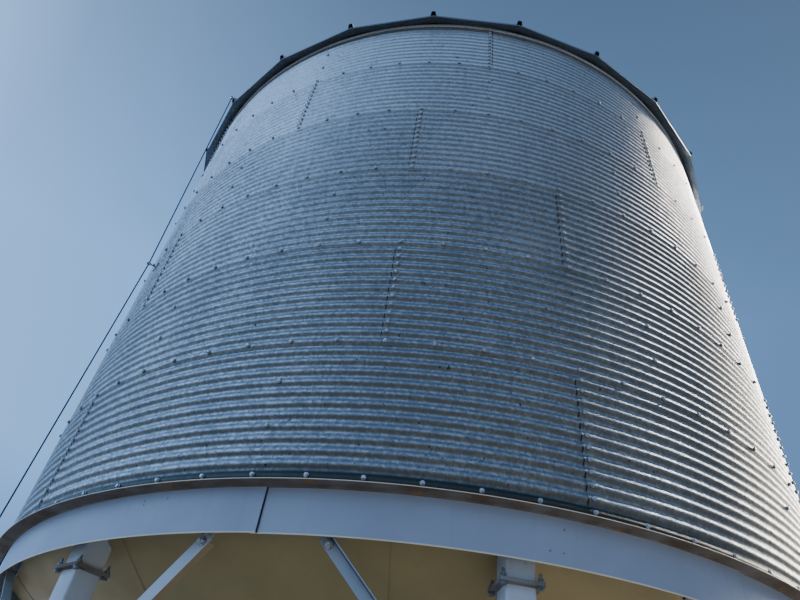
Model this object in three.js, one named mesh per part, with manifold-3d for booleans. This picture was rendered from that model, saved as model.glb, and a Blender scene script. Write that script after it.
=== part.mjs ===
// A free-standing grain silo: a corrugated galvanised bin on a steel hopper with eight legs.
// Millimetres, +Z up. The origin is on the silo's centre line at ground level.
// An azimuth is counted in degrees from -Y, towards +X, so azimuth 0 faces the front.
import * as THREE from 'three';
import { mergeVertices } from 'three/addons/utils/BufferGeometryUtils.js';
import Module from 'manifold-3d';

const wasm = await Module();
wasm.setup();

// Driving dimensions.
const GAP = 0.3; // clearance between touching pieces

const WALL_RADIUS = 2910; // middle of the corrugated sheet
const WALL_DEPTH = 13; // crest to crest through the corrugation
const TIER_COUNT = 6;
const TIER_PITCH = 746;
const ROUND_SIDES = 72;
const ROUND_PHASE = 1.5; // azimuth of one corner of every round piece

const BAY_COUNT = 8;
const BAY_ANGLE = 360 / BAY_COUNT;
const FIRST_LEG_AZIMUTH = 9.15;
const FIRST_SEAM_AZIMUTH = -13.5; // the skirt's plates lap midway between the legs

const SKIRT_BOTTOM = 2485;
const SKIRT_TOP = 2690;
const SKIRT_INNER_RADIUS = 2864;
const SKIRT_THICKNESS = 4.5;
const SKIRT_LAP = 9; // how far a plate's far end stands over the next plate

const RING_THICKNESS = 6;
const RING_OUTER_RADIUS = 2947;
const RING_UPSTAND = 70;

const CONE_SLOPE = 0.69; // fall per unit of radius
const CONE_RIM_BELOW_SKIRT_TOP = 8;
const CONE_THICKNESS = 6;
const OUTLET_RADIUS = 232;

const LEG_WIDTH = 130;
const LEG_DEPTH = 136;
const LEG_FACE_RADIUS = 2799; // the leg's outer face
const JOINT_Z = 2420; // where the leg bolts to the stub under the cone
const FLANGE_THICKNESS = 7;
const FLANGE_WIDTH = 190;
const FLANGE_DEPTH = 194;
const FLANGE_FRONT = 28; // how far the flange stands out in front of the leg
const FOOT_WIDTH = 260;
const FOOT_DEPTH = 290;
const FOOT_THICKNESS = 12;

const BRACE_RIGHT = { face: 63, flange: 40 }; // the angle section on a leg's right
const BRACE_LEFT = { face: 50, flange: 50 };
const BRACE_THICKNESS = 5;
const BRACE_FOOT_END = 26; // from the bolt to the end of the bar
const BRACE_TOP_END = 38;
const BRACE_FLANGE_START = 50; // where an inward flange starts, past the foot bolt
const BRACE_FLANGE_END = 20; // and where it ends, past the top bolt
const BRACE_PLATE = 8; // tabs and gussets that the braces bolt to
const BRACE_TOP_Z = 2479;
const BRACE_TOP_ANGLE = 16.5; // from the leg's azimuth
const BRACE_TOP_RADIUS = 2794;
const BRACE_FOOT_Z = 1760;
const BRACE_FOOT_SIDE = 108; // from the leg's centre line
const BRACE_FOOT_RADIUS = 2789;
const TAB_REACH_UP = 211; // past the cone, which trims the tab
const TAB_OUTLINE = [ // of the tab from a brace's top bolt up to the cone: [away from the leg, up]
  [-16, -18],
  [16, -18],
  [29, 0],
  [58, 40],
  [75, 62],
  [75, TAB_REACH_UP],
  [-30, TAB_REACH_UP],
];
const GUSSET_TOWARDS_LEG = 60; // the leg's plate round a brace's foot bolt
const GUSSET_AWAY_FROM_LEG = 33;
const GUSSET_HALF_HEIGHT = 35;
const WELD_DEPTH = 1; // how far welded members run into each other

const ROOF_SIDES = 24;
const ROOF_PHASE = -5; // azimuth of one rib
const ROOF_SLOPE = Math.tan(THREE.MathUtils.degToRad(30));
const ROOF_THICKNESS = 6;
const EAVE_APOTHEM = 2996; // middle of a panel's lower edge
const PEAK_APOTHEM = 380; // middle of a panel's upper edge
const RIB_HEIGHT = 45;
const RIB_BASE = 56;
const RIB_TOP = 34;
const RIB_INNER_RADIUS = 480;
const RIB_OUTER_RADIUS = 3018; // where a rib's foot ends; its top stands further out

const COLLAR_RADIUS = 374;
const COLLAR_THICKNESS = 5;
const COLLAR_HEIGHT = 90; // above the panels' upper edge
const COLLAR_DROP = 40;
const PEAK_RING_RADIUS = 455;
const LID_RADIUS = 396;
const LID_THICKNESS = 4;
const LID_SLOPE = Math.tan(THREE.MathUtils.degToRad(15));
const LID_BAND_HEIGHT = 55;
const LID_SIDES = 48;

const NECK_FOOT = 740;
const NECK_WALL = 6;
const NECK_FLANGE_RADIUS = 285;
const GATE_HALF_WIDTH = 300;
const GATE_HEIGHT = 56;
const GATE_FRONT = -340;
const GATE_BACK = 300;
const GATE_HOLE_RADIUS = 224;
const GATE_HOLE_SIDES = 48;
const SLOT_HALF_WIDTH = 262;
const SLOT_BACK = 270;
const BLADE_THICKNESS = 8;
const BLADE_BELOW_GATE_TOP = 30;
const BLADE_PLAY = 1; // between the blade and the slot's sides and end
const BLADE_FRONT = -400;
const HANDLE_Y = -435;
const HANDLE_HALF_LENGTH = 90;
const HANDLE_RADIUS = 10;
const HANDLE_ARM_X = 80;
const HANDLE_ARM_HALF_WIDTH = 6;

const OPENER_AZIMUTH = -50;
const ROPE_DIAMETER = 11;
const ROPE_SIDES = 8;
const BEND_REACH = 14; // how far from a guide ring the rope starts to bend
const BEND_STEPS = 4;
const ROPE_START_OUT = 19; // where the rope leaves the lever, from its arm
const ROPE_START_DOWN = 20;
const ROPE_END_UP = 30; // where the rope ends at the cleat, from its middle
const LEVER_HEIGHT = 290;
const LEVER_RADIUS = 330;
const LEVER_THICKNESS = 10;
const LEVER_FOOT_LENGTH = 150; // inwards from the arm
const LEVER_FOOT_TOE = 20; // outwards from the arm
const LEVER_FOOT_HEIGHT = 40;
const LEVER_ROOT_WIDTH = 40;
const LEVER_ROOT_HEIGHT = 60;
const LEVER_HALF_TIP = 15;
const EYE_RADIUS = 14; // of the guide rings, to the middle of their wire
const EYE_WIRE = 4;
const EYE_SIDES = 16;
const EYE_WIRE_SIDES = 8;
const GUIDE_PLATE = 6;
const GUIDE_PLATE_HALF = 30;
const GUIDE_ARM_RADIUS = 5;
const EAVE_PLATE_LENGTH = 90;
const EAVE_EYE_TILT = 27; // degrees from level, where the rope turns from the roof to the wall
const EAVE_ARM_IN = 12; // where the eave guide's arm leaves its plate, from the plate's outer end
const EAVE_ARM_UP = 9;
const EAVE_EYE = { radius: 3056, azimuth: OPENER_AZIMUTH, z: 7187 };
const WALL_EYE = { radius: 2975, azimuth: -51, z: 4800 };
const SKIRT_EYE = { radius: 3010, azimuth: -56, z: 2518 };
const CLEAT_AZIMUTH = FIRST_LEG_AZIMUTH - BAY_ANGLE;
const CLEAT_Z = 1250;
const CLEAT_STANDOFF = 34;
const CLEAT_HALF_LENGTH = 75;
const CLEAT_BAR = 7;
const CLEAT_PLATE_HALF_WIDTH = 25;
const CLEAT_PLATE_HALF_HEIGHT = 40;
const CLEAT_POST_HALF_WIDTH = 10;
const CLEAT_POST_HALF_HEIGHT = 15;
const BAR_SIDES = 12;
const MERGE_DISTANCE = 1e-3; // corners closer than this are one corner

// Worked out from the driving dimensions.
const RING_Z = SKIRT_TOP + GAP;
const WALL_FOOT = RING_Z + RING_THICKNESS + GAP;
const WALL_TOP = WALL_FOOT + TIER_COUNT * TIER_PITCH - GAP;
const WALL_OUTER = WALL_RADIUS + WALL_DEPTH / 2;
const WALL_INNER = WALL_RADIUS - WALL_DEPTH / 2;
const CONE_RIM_RADIUS = SKIRT_INNER_RADIUS - GAP;
const CONE_RIM_Z = SKIRT_TOP - CONE_RIM_BELOW_SKIRT_TOP; // underside at the rim
const CONE_RISE = CONE_THICKNESS * Math.hypot(1, CONE_SLOPE); // upright thickness of the cone
const ROOF_RISE = ROOF_THICKNESS * Math.hypot(1, ROOF_SLOPE);
const ROOF_CORNER = 1 / Math.cos(Math.PI / ROOF_SIDES); // corner radius over apothem
const roofUnder = (apothem) => WALL_TOP + GAP + (WALL_OUTER - apothem) * ROOF_SLOPE;
const coneUnder = (radius) => CONE_RIM_Z - (CONE_RIM_RADIUS - radius) * CONE_SLOPE;
const OUTLET_Z = coneUnder(OUTLET_RADIUS);
const FACET = Math.cos(Math.PI / ROUND_SIDES); // middle of a flat side over its corner radius
const GATE_TOP = NECK_FOOT - GAP;
const BLADE_Z = GATE_TOP - BLADE_BELOW_GATE_TOP;
const COLLAR_TOP = roofUnder(PEAK_APOTHEM) + ROOF_RISE + COLLAR_HEIGHT;

const rad = THREE.MathUtils.degToRad;

const galvanised = new THREE.MeshStandardMaterial({ color: 0x9aa5ad, roughness: 0.4, metalness: 0.9 });
const roofSteel = new THREE.MeshStandardMaterial({ color: 0x8b949b, roughness: 0.45, metalness: 0.9 });
const rustySteel = new THREE.MeshStandardMaterial({ color: 0x6b5a4a, roughness: 0.8, metalness: 0.3 });
const whitePaint = new THREE.MeshStandardMaterial({ color: 0xc9cdd0, roughness: 0.5, metalness: 0.1 });
const creamPaint = new THREE.MeshStandardMaterial({ color: 0xcfc6a8, roughness: 0.5, metalness: 0.1 });
const darkSteel = new THREE.MeshStandardMaterial({ color: 0x3b3d40, roughness: 0.6, metalness: 0.6 });
const cordFibre = new THREE.MeshStandardMaterial({ color: 0x2c2e33, roughness: 0.9, metalness: 0.0 });

// Signed volume of a closed triangle mesh, positive when its faces point out.
function signedVolume(geometry) {
  const p = geometry.attributes.position;
  const index = geometry.index.array;
  const [a, b, c] = [new THREE.Vector3(), new THREE.Vector3(), new THREE.Vector3()];
  let volume = 0;
  for (let i = 0; i < index.length; i += 3) {
    a.fromBufferAttribute(p, index[i]);
    b.fromBufferAttribute(p, index[i + 1]);
    c.fromBufferAttribute(p, index[i + 2]);
    volume += a.dot(b.cross(c)) / 6;
  }
  return volume;
}

// Merges shared vertices and turns the faces outwards.
function closed(geometry) {
  geometry.deleteAttribute('normal');
  geometry.deleteAttribute('uv');
  const merged = mergeVertices(geometry, MERGE_DISTANCE);
  if (signedVolume(merged) < 0) {
    const index = merged.index.array;
    for (let i = 0; i < index.length; i += 3) {
      [index[i], index[i + 1]] = [index[i + 1], index[i]];
    }
  }
  return merged;
}

function toManifold(geometry) {
  const solid = closed(geometry);
  return new wasm.Manifold(new wasm.Mesh({
    numProp: 3,
    vertProperties: new Float32Array(solid.attributes.position.array),
    triVerts: new Uint32Array(solid.index.array),
  }));
}

function fromManifold(manifold) {
  const mesh = manifold.getMesh();
  const geometry = new THREE.BufferGeometry();
  geometry.setAttribute('position', new THREE.BufferAttribute(mesh.vertProperties, 3));
  geometry.setIndex(new THREE.BufferAttribute(mesh.triVerts, 1));
  return geometry;
}

const join = (...parts) => fromManifold(parts.map(toManifold).reduce((sum, part) => sum.add(part)));
const cut = (body, ...tools) =>
  fromManifold(tools.map(toManifold).reduce((rest, tool) => rest.subtract(tool), toManifold(body)));

// Turns a closed profile of [radius, height] points about the Z axis.
function turned(profile, sides = ROUND_SIDES, phase = ROUND_PHASE) {
  const points = profile.map(([radius, height]) => new THREE.Vector2(radius, height));
  const onAxis = profile[0][0] === 0 && profile[profile.length - 1][0] === 0;
  if (!onAxis) points.push(points[0].clone());
  return closed(new THREE.LatheGeometry(points, sides).rotateX(Math.PI / 2).rotateZ(rad(phase)));
}

// A box given by its low and high corners.
function block(low, high) {
  const size = high.map((value, i) => value - low[i]);
  const middle = high.map((value, i) => (value + low[i]) / 2);
  return new THREE.BoxGeometry(...size).translate(...middle);
}

// A point at a radius, azimuth and height.
function at(radius, azimuth, z) {
  return new THREE.Vector3(radius * Math.sin(rad(azimuth)), -radius * Math.cos(rad(azimuth)), z);
}

// Stands a geometry with its x and y along two given directions, from a given origin.
const UP = new THREE.Vector3(0, 0, 1);
const RIGHT = new THREE.Vector3(1, 0, 0);
function stood(geometry, xAxis, yAxis, origin) {
  const frame = new THREE.Matrix4().makeBasis(xAxis, yAxis, new THREE.Vector3().crossVectors(xAxis, yAxis));
  return geometry.applyMatrix4(frame.setPosition(origin));
}

// A straight round bar between two points.
function bar(from, to, radius) {
  const along = new THREE.Vector3().subVectors(to, from);
  const direction = along.clone().normalize();
  const turn = new THREE.Quaternion().setFromUnitVectors(new THREE.Vector3(0, 1, 0), direction);
  const middle = new THREE.Vector3().addVectors(from, to).multiplyScalar(0.5);
  return new THREE.CylinderGeometry(radius, radius, along.length(), BAR_SIDES)
    .applyQuaternion(turn)
    .translate(middle.x, middle.y, middle.z);
}

const silo = new THREE.Group();

// Adds a sub-part, modelled at azimuth 0 and turned to its own azimuth.
function add(name, geometry, material, azimuth = 0) {
  const mesh = new THREE.Mesh(closed(geometry.clone()), material);
  mesh.name = name;
  mesh.rotation.z = rad(azimuth);
  silo.add(mesh);
}

// The corrugated wall: six rings of sheets, one above another.
function wallTier(number) {
  const foot = WALL_FOOT + (number - 1) * TIER_PITCH;
  const top = foot + TIER_PITCH - GAP;
  return turned([[WALL_INNER, foot], [WALL_OUTER, foot], [WALL_OUTER, top], [WALL_INNER, top]]);
}

// The rolled angle between the skirt and the wall, with its ledge outwards and its upstand inside.
function baseAngleRing() {
  const ledgeTop = RING_Z + RING_THICKNESS;
  const upstandOuter = WALL_INNER - GAP;
  return turned([
    [SKIRT_INNER_RADIUS, RING_Z],
    [RING_OUTER_RADIUS, RING_Z],
    [RING_OUTER_RADIUS, ledgeTop],
    [upstandOuter, ledgeTop],
    [upstandOuter, ledgeTop + RING_UPSTAND],
    [upstandOuter - RING_THICKNESS, ledgeTop + RING_UPSTAND],
    [upstandOuter - RING_THICKNESS, ledgeTop],
    [SKIRT_INNER_RADIUS, ledgeTop],
  ]);
}

// The upright skirt plate: eight plates welded into one band, each lapped over the next.
const bayShare = (azimuth) => {
  const bays = (azimuth - FIRST_SEAM_AZIMUTH) / BAY_ANGLE;
  return bays - Math.floor(bays);
};
const skirtOuter = (azimuth) => SKIRT_INNER_RADIUS + SKIRT_THICKNESS + SKIRT_LAP * bayShare(azimuth);
function skirtBand() {
  const stepsPerBay = ROUND_SIDES / BAY_COUNT;
  const outline = [];
  for (let bay = 0; bay < BAY_COUNT; bay += 1) {
    for (let step = 0; step <= stepsPerBay; step += 1) {
      const share = step / stepsPerBay;
      const radius = SKIRT_INNER_RADIUS + SKIRT_THICKNESS + SKIRT_LAP * share;
      const point = at(radius, FIRST_SEAM_AZIMUTH + (bay + share) * BAY_ANGLE, 0);
      outline.push(new THREE.Vector2(point.x, point.y));
    }
  }
  const inner = [];
  for (let side = 0; side < ROUND_SIDES; side += 1) {
    const point = at(SKIRT_INNER_RADIUS, ROUND_PHASE + (side * 360) / ROUND_SIDES, 0);
    inner.push(new THREE.Vector2(point.x, point.y));
  }
  const shape = new THREE.Shape(outline);
  shape.holes.push(new THREE.Path(inner));
  const depth = SKIRT_TOP - SKIRT_BOTTOM;
  return new THREE.ExtrudeGeometry(shape, { depth, bevelEnabled: false }).translate(0, 0, SKIRT_BOTTOM);
}

// The upright plane that a knee brace lies in, seen from its leg at azimuth 0.
// side is 1 for the brace on the leg's right and -1 for the one on its left.
function bracePlane(side) {
  const foot = new THREE.Vector3(side * BRACE_FOOT_SIDE, -BRACE_FOOT_RADIUS, BRACE_FOOT_Z);
  const top = at(BRACE_TOP_RADIUS, side * BRACE_TOP_ANGLE, BRACE_TOP_Z);
  const along = new THREE.Vector3().subVectors(top, foot);
  const level = new THREE.Vector3(along.x, along.y, 0).normalize();
  const outward = new THREE.Vector3().crossVectors(level, UP).multiplyScalar(side);
  return { foot, top, along, level, outward };
}

// A plate behind a brace's end, from its outline of [level, height] points round the brace's bolt.
// near is its distance behind the brace, which is below zero where the two are one solid.
function bracePlate(side, bolt, outline, near) {
  const shape = new THREE.Shape(outline.map(([x, y]) => new THREE.Vector2(x, y)));
  const plate = new THREE.ExtrudeGeometry(shape, { depth: BRACE_PLATE, bevelEnabled: false })
    .translate(0, 0, side > 0 ? -near - BRACE_PLATE : near);
  return stood(plate, bracePlane(side).level, UP, bolt);
}

// The hopper: a steep cone of plate, open at the outlet.
function hopperCone() {
  return turned([
    [CONE_RIM_RADIUS, CONE_RIM_Z],
    [CONE_RIM_RADIUS, CONE_RIM_Z + CONE_RISE],
    [OUTLET_RADIUS, OUTLET_Z + CONE_RISE],
    [OUTLET_RADIUS, OUTLET_Z],
  ]);
}

// The space from just under the cone upwards, seen from a leg at azimuth 0.
// It trims the stubs and tabs that stand under the cone.
function aboveCone() {
  const drop = GAP * Math.hypot(1, CONE_SLOPE);
  const reach = CONE_RIM_RADIUS + FLANGE_FRONT;
  return turned([
    [0, coneUnder(0) - drop],
    [reach, coneUnder(reach) - drop],
    [reach, SKIRT_TOP + RING_UPSTAND],
    [0, SKIRT_TOP + RING_UPSTAND],
  ], ROUND_SIDES, ROUND_PHASE - FIRST_LEG_AZIMUTH);
}

// A box-section post of a leg or a stub, between two heights.
function legPost(bottom, top) {
  const face = -LEG_FACE_RADIUS;
  return block([-LEG_WIDTH / 2, face, bottom], [LEG_WIDTH / 2, face + LEG_DEPTH, top]);
}

// One of the two plates that a leg and its stub are bolted together with.
function legFlange(bottom) {
  const front = -LEG_FACE_RADIUS - FLANGE_FRONT;
  return block(
    [-FLANGE_WIDTH / 2, front, bottom],
    [FLANGE_WIDTH / 2, front + FLANGE_DEPTH, bottom + FLANGE_THICKNESS],
  );
}

// The stub that a leg bolts to: a flange and a short post, cut to the slope of the cone above it.
function legStub() {
  const foot = JOINT_Z + GAP;
  return cut(join(legFlange(foot), legPost(foot + WELD_DEPTH, SKIRT_TOP)), aboveCone());
}

// A box-section leg with its foot plate, its top flange and a gusset for a brace on each side.
function leg() {
  const middleY = LEG_DEPTH / 2 - LEG_FACE_RADIUS;
  const foot = block(
    [-FOOT_WIDTH / 2, middleY - FOOT_DEPTH / 2, 0],
    [FOOT_WIDTH / 2, middleY + FOOT_DEPTH / 2, FOOT_THICKNESS],
  );
  const outline = [
    [-GUSSET_TOWARDS_LEG, -GUSSET_HALF_HEIGHT],
    [GUSSET_AWAY_FROM_LEG, -GUSSET_HALF_HEIGHT],
    [GUSSET_AWAY_FROM_LEG, GUSSET_HALF_HEIGHT],
    [-GUSSET_TOWARDS_LEG, GUSSET_HALF_HEIGHT],
  ];
  const gussets = [1, -1].map((side) => bracePlate(side, bracePlane(side).foot, outline, GAP));
  const post = legPost(WELD_DEPTH, JOINT_Z - WELD_DEPTH);
  return join(post, foot, legFlange(JOINT_Z - FLANGE_THICKNESS), ...gussets);
}

// A knee brace: an angle, bolted on at both ends of its face.
// On a leg's right its flange is below and points inwards, and starts past the leg's gusset.
// On a leg's left it is above and points outwards. The tab up to the cone is one solid with the brace.
function kneeBrace(side) {
  const { foot, top, along, outward } = bracePlane(side);
  const section = side > 0 ? BRACE_RIGHT : BRACE_LEFT;
  const length = along.length();
  const half = section.face / 2;
  const face = block([-BRACE_FOOT_END, -half, 0], [length + BRACE_TOP_END, half, BRACE_THICKNESS]);
  const flange = side > 0
    ? block(
      [BRACE_FLANGE_START, -half, BRACE_THICKNESS - section.flange],
      [length + BRACE_FLANGE_END, BRACE_THICKNESS - half, WELD_DEPTH],
    )
    : block(
      [-BRACE_FOOT_END, -half, BRACE_THICKNESS - WELD_DEPTH],
      [length + BRACE_TOP_END, BRACE_THICKNESS - half, section.flange],
    );
  const u = along.clone().normalize();
  const angle = stood(join(face, flange), u, new THREE.Vector3().crossVectors(outward, u), foot);
  const tab = bracePlate(side, top, TAB_OUTLINE, -WELD_DEPTH);
  return join(angle, cut(tab, aboveCone()));
}

// The short neck under the cone, with the flange that the slide gate hangs from.
function outletNeck() {
  const outer = OUTLET_RADIUS - GAP;
  return turned([
    [outer - NECK_WALL, NECK_FOOT],
    [NECK_FLANGE_RADIUS, NECK_FOOT],
    [NECK_FLANGE_RADIUS, NECK_FOOT + NECK_WALL],
    [outer, NECK_FOOT + NECK_WALL],
    [outer, OUTLET_Z + CONE_RISE],
    [outer - NECK_WALL, OUTLET_Z + CONE_RISE],
  ]);
}

// The slide gate's frame, with a slot for its blade that is open at the front.
function slideGateFrame() {
  const foot = GATE_TOP - GATE_HEIGHT;
  const body = block([-GATE_HALF_WIDTH, GATE_FRONT, foot], [GATE_HALF_WIDTH, GATE_BACK, GATE_TOP]);
  const reach = 3 * GATE_HEIGHT;
  const hole = new THREE.CylinderGeometry(GATE_HOLE_RADIUS, GATE_HOLE_RADIUS, reach, GATE_HOLE_SIDES)
    .rotateX(Math.PI / 2)
    .translate(0, 0, GATE_TOP - GATE_HEIGHT / 2);
  const slot = block(
    [-SLOT_HALF_WIDTH, BLADE_FRONT, BLADE_Z - GAP],
    [SLOT_HALF_WIDTH, SLOT_BACK, BLADE_Z + BLADE_THICKNESS + GAP],
  );
  return cut(body, hole, slot);
}

// The gate's blade, shut, with a bar handle on two arms at the front.
function slideGateBlade() {
  const halfWidth = SLOT_HALF_WIDTH - BLADE_PLAY;
  const blade = block(
    [-halfWidth, BLADE_FRONT, BLADE_Z],
    [halfWidth, SLOT_BACK - BLADE_PLAY, BLADE_Z + BLADE_THICKNESS],
  );
  const handleZ = BLADE_Z + BLADE_THICKNESS / 2;
  const handle = bar(
    new THREE.Vector3(-HANDLE_HALF_LENGTH, HANDLE_Y, handleZ),
    new THREE.Vector3(HANDLE_HALF_LENGTH, HANDLE_Y, handleZ),
    HANDLE_RADIUS,
  );
  const arms = [-HANDLE_ARM_X, HANDLE_ARM_X].map((x) => block(
    [x - HANDLE_ARM_HALF_WIDTH, HANDLE_Y, BLADE_Z],
    [x + HANDLE_ARM_HALF_WIDTH, BLADE_FRONT + WELD_DEPTH, BLADE_Z + BLADE_THICKNESS],
  ));
  return join(blade, handle, ...arms);
}

// The roof: 24 sloping panels with a pressed rib at every joint. A rib follows the joint's own slope.
const RIB_ANGLE = Math.atan(ROOF_SLOPE / ROOF_CORNER);
const RIB_NORMAL = new THREE.Vector3(0, -Math.sin(RIB_ANGLE), Math.cos(RIB_ANGLE));
const ribSeat = (radius) => roofUnder(radius / ROOF_CORNER) + ROOF_RISE / 2;
function roof() {
  const corner = (apothem) => apothem * ROOF_CORNER;
  const shell = turned([
    [corner(PEAK_APOTHEM), roofUnder(PEAK_APOTHEM)],
    [corner(EAVE_APOTHEM), roofUnder(EAVE_APOTHEM)],
    [corner(EAVE_APOTHEM), roofUnder(EAVE_APOTHEM) + ROOF_RISE],
    [corner(PEAK_APOTHEM), roofUnder(PEAK_APOTHEM) + ROOF_RISE],
  ], ROOF_SIDES, ROOF_PHASE);
  const run = RIB_OUTER_RADIUS - RIB_INNER_RADIUS;
  const section = new THREE.Shape([
    new THREE.Vector2(-RIB_BASE / 2, 0),
    new THREE.Vector2(RIB_BASE / 2, 0),
    new THREE.Vector2(RIB_TOP / 2, RIB_HEIGHT),
    new THREE.Vector2(-RIB_TOP / 2, RIB_HEIGHT),
  ]);
  const depth = run / Math.cos(RIB_ANGLE);
  const rib = stood(
    new THREE.ExtrudeGeometry(section, { depth, bevelEnabled: false }),
    RIGHT,
    RIB_NORMAL,
    new THREE.Vector3(0, -RIB_INNER_RADIUS, ribSeat(RIB_INNER_RADIUS)),
  );
  let sum = toManifold(shell);
  const solid = toManifold(rib);
  for (let side = 0; side < ROOF_SIDES; side += 1) {
    sum = sum.add(solid.rotate([0, 0, ROOF_PHASE + (side * 360) / ROOF_SIDES]));
  }
  return fromManifold(sum);
}

// The height of the panels' upper side, with clearance, at a corner radius.
const onPanels = (radius) => roofUnder(radius / ROOF_CORNER) + ROOF_RISE + GAP;

// The collar round the filling hole, which reaches a little way into the bin.
function peakCollar() {
  const inner = COLLAR_RADIUS - COLLAR_THICKNESS;
  const foot = onPanels(COLLAR_RADIUS) - COLLAR_DROP;
  return turned([
    [inner, foot],
    [COLLAR_RADIUS, foot],
    [COLLAR_RADIUS, COLLAR_TOP],
    [inner, COLLAR_TOP],
  ], ROOF_SIDES, ROOF_PHASE);
}

// The ring round the collar that lies on the panels' upper ends.
function peakRing() {
  const inner = COLLAR_RADIUS + GAP;
  return turned([
    [inner, onPanels(inner)],
    [PEAK_RING_RADIUS, onPanels(PEAK_RING_RADIUS)],
    [PEAK_RING_RADIUS, onPanels(PEAK_RING_RADIUS) + COLLAR_THICKNESS],
    [inner, onPanels(inner) + COLLAR_THICKNESS],
  ], ROOF_SIDES, ROOF_PHASE);
}

// The lid: a shallow cone that stands on the collar.
const lidUnder = (radius) => COLLAR_TOP + GAP + (COLLAR_RADIUS - radius) * LID_SLOPE;
const LID_RISE = LID_THICKNESS * Math.hypot(1, LID_SLOPE);
function roofLid() {
  return turned([
    [0, lidUnder(0)],
    [LID_RADIUS, lidUnder(LID_RADIUS)],
    [LID_RADIUS, lidUnder(LID_RADIUS) + LID_RISE],
    [0, lidUnder(0) + LID_RISE],
  ], LID_SIDES, ROOF_PHASE);
}

// The band under the lid's rim, which hangs round the collar.
function lidBand() {
  const inner = LID_RADIUS - LID_THICKNESS;
  return turned([
    [inner, lidUnder(inner) - LID_BAND_HEIGHT],
    [LID_RADIUS, lidUnder(inner) - LID_BAND_HEIGHT],
    [LID_RADIUS, lidUnder(LID_RADIUS) - GAP],
    [inner, lidUnder(inner) - GAP],
  ], LID_SIDES, ROOF_PHASE);
}

// The lever that tips the lid: a foot on the lid and an upright arm, whose top holds the rope.
const leverSurface = (radius) => lidUnder(radius) + LID_RISE + GAP;
const LEVER_TOP = leverSurface(LEVER_RADIUS) + LEVER_HEIGHT;
function lidLever() {
  const inner = LEVER_RADIUS - LEVER_FOOT_LENGTH;
  const outer = LEVER_RADIUS + LEVER_FOOT_TOE;
  const outline = new THREE.Shape([
    new THREE.Vector2(-inner, leverSurface(inner)),
    new THREE.Vector2(-inner, leverSurface(inner) + LEVER_FOOT_HEIGHT),
    new THREE.Vector2(LEVER_ROOT_WIDTH - LEVER_RADIUS, leverSurface(LEVER_RADIUS) + LEVER_ROOT_HEIGHT),
    new THREE.Vector2(LEVER_HALF_TIP - LEVER_RADIUS, LEVER_TOP),
    new THREE.Vector2(-LEVER_HALF_TIP - LEVER_RADIUS, LEVER_TOP),
    new THREE.Vector2(-outer, leverSurface(outer)),
  ]);
  const plate = new THREE.ExtrudeGeometry(outline, { depth: LEVER_THICKNESS, bevelEnabled: false });
  const origin = new THREE.Vector3(-LEVER_THICKNESS / 2, 0, 0);
  return stood(plate, new THREE.Vector3(0, 1, 0), UP, origin);
}

// A guide ring round the rope, in the plane across the given rope direction.
function eye(centre, ropeDirection) {
  const turn = new THREE.Quaternion().setFromUnitVectors(UP, ropeDirection.clone().normalize());
  return new THREE.TorusGeometry(EYE_RADIUS, EYE_WIRE, EYE_WIRE_SIDES, EYE_SIDES)
    .applyQuaternion(turn)
    .translate(centre.x, centre.y, centre.z);
}

// The guide at the eave: a plate on the rib's top, an arm, and a ring where the rope turns down.
function eaveGuide() {
  const centre = at(EAVE_EYE.radius, 0, EAVE_EYE.z);
  const seat = RIB_HEIGHT + GAP;
  const ribEnd = new THREE.Vector3(0, -RIB_OUTER_RADIUS, ribSeat(RIB_OUTER_RADIUS));
  const plate = stood(
    block([-RIB_TOP / 2, seat, -EAVE_PLATE_LENGTH], [RIB_TOP / 2, seat + GUIDE_PLATE, 0]),
    RIGHT,
    RIB_NORMAL,
    ribEnd,
  );
  const sine = Math.sin(rad(EAVE_EYE_TILT));
  const cosine = Math.cos(rad(EAVE_EYE_TILT));
  const ringFoot = centre.clone().addScaledVector(new THREE.Vector3(0, cosine, -sine), EYE_RADIUS);
  const plateEnd = ribEnd.clone()
    .addScaledVector(RIB_NORMAL, seat + GUIDE_PLATE / 2)
    .add(new THREE.Vector3(0, EAVE_ARM_IN, EAVE_ARM_UP));
  const ring = eye(centre, new THREE.Vector3(0, -sine, -cosine));
  return join(plate, ring, bar(plateEnd, ringFoot, EYE_WIRE));
}

// A guide on an upright surface: a plate, an arm standing straight out, and a level ring.
function standoffGuide(surfaceRadius, place) {
  const face = -(surfaceRadius + GAP);
  const plate = block(
    [-GUIDE_PLATE_HALF, face - GUIDE_PLATE, place.z - GUIDE_PLATE_HALF],
    [GUIDE_PLATE_HALF, face, place.z + GUIDE_PLATE_HALF],
  );
  const centre = at(place.radius, 0, place.z);
  const arm = bar(
    new THREE.Vector3(0, face - GUIDE_PLATE / 2, place.z),
    new THREE.Vector3(0, -(place.radius - EYE_RADIUS), place.z),
    GUIDE_ARM_RADIUS,
  );
  return join(plate, arm, eye(centre, UP));
}

// The cleat on a leg, where the rope is made fast within a person's reach.
function ropeCleat() {
  const face = -(LEG_FACE_RADIUS + GAP);
  const barY = face - CLEAT_STANDOFF;
  const plate = block(
    [-CLEAT_PLATE_HALF_WIDTH, face - GUIDE_PLATE, CLEAT_Z - CLEAT_PLATE_HALF_HEIGHT],
    [CLEAT_PLATE_HALF_WIDTH, face, CLEAT_Z + CLEAT_PLATE_HALF_HEIGHT],
  );
  const post = block(
    [-CLEAT_POST_HALF_WIDTH, barY, CLEAT_Z - CLEAT_POST_HALF_HEIGHT],
    [CLEAT_POST_HALF_WIDTH, face - WELD_DEPTH, CLEAT_Z + CLEAT_POST_HALF_HEIGHT],
  );
  const horns = bar(
    new THREE.Vector3(0, barY, CLEAT_Z - CLEAT_HALF_LENGTH),
    new THREE.Vector3(0, barY, CLEAT_Z + CLEAT_HALF_LENGTH),
    CLEAT_BAR,
  );
  return join(plate, post, horns);
}

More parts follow.
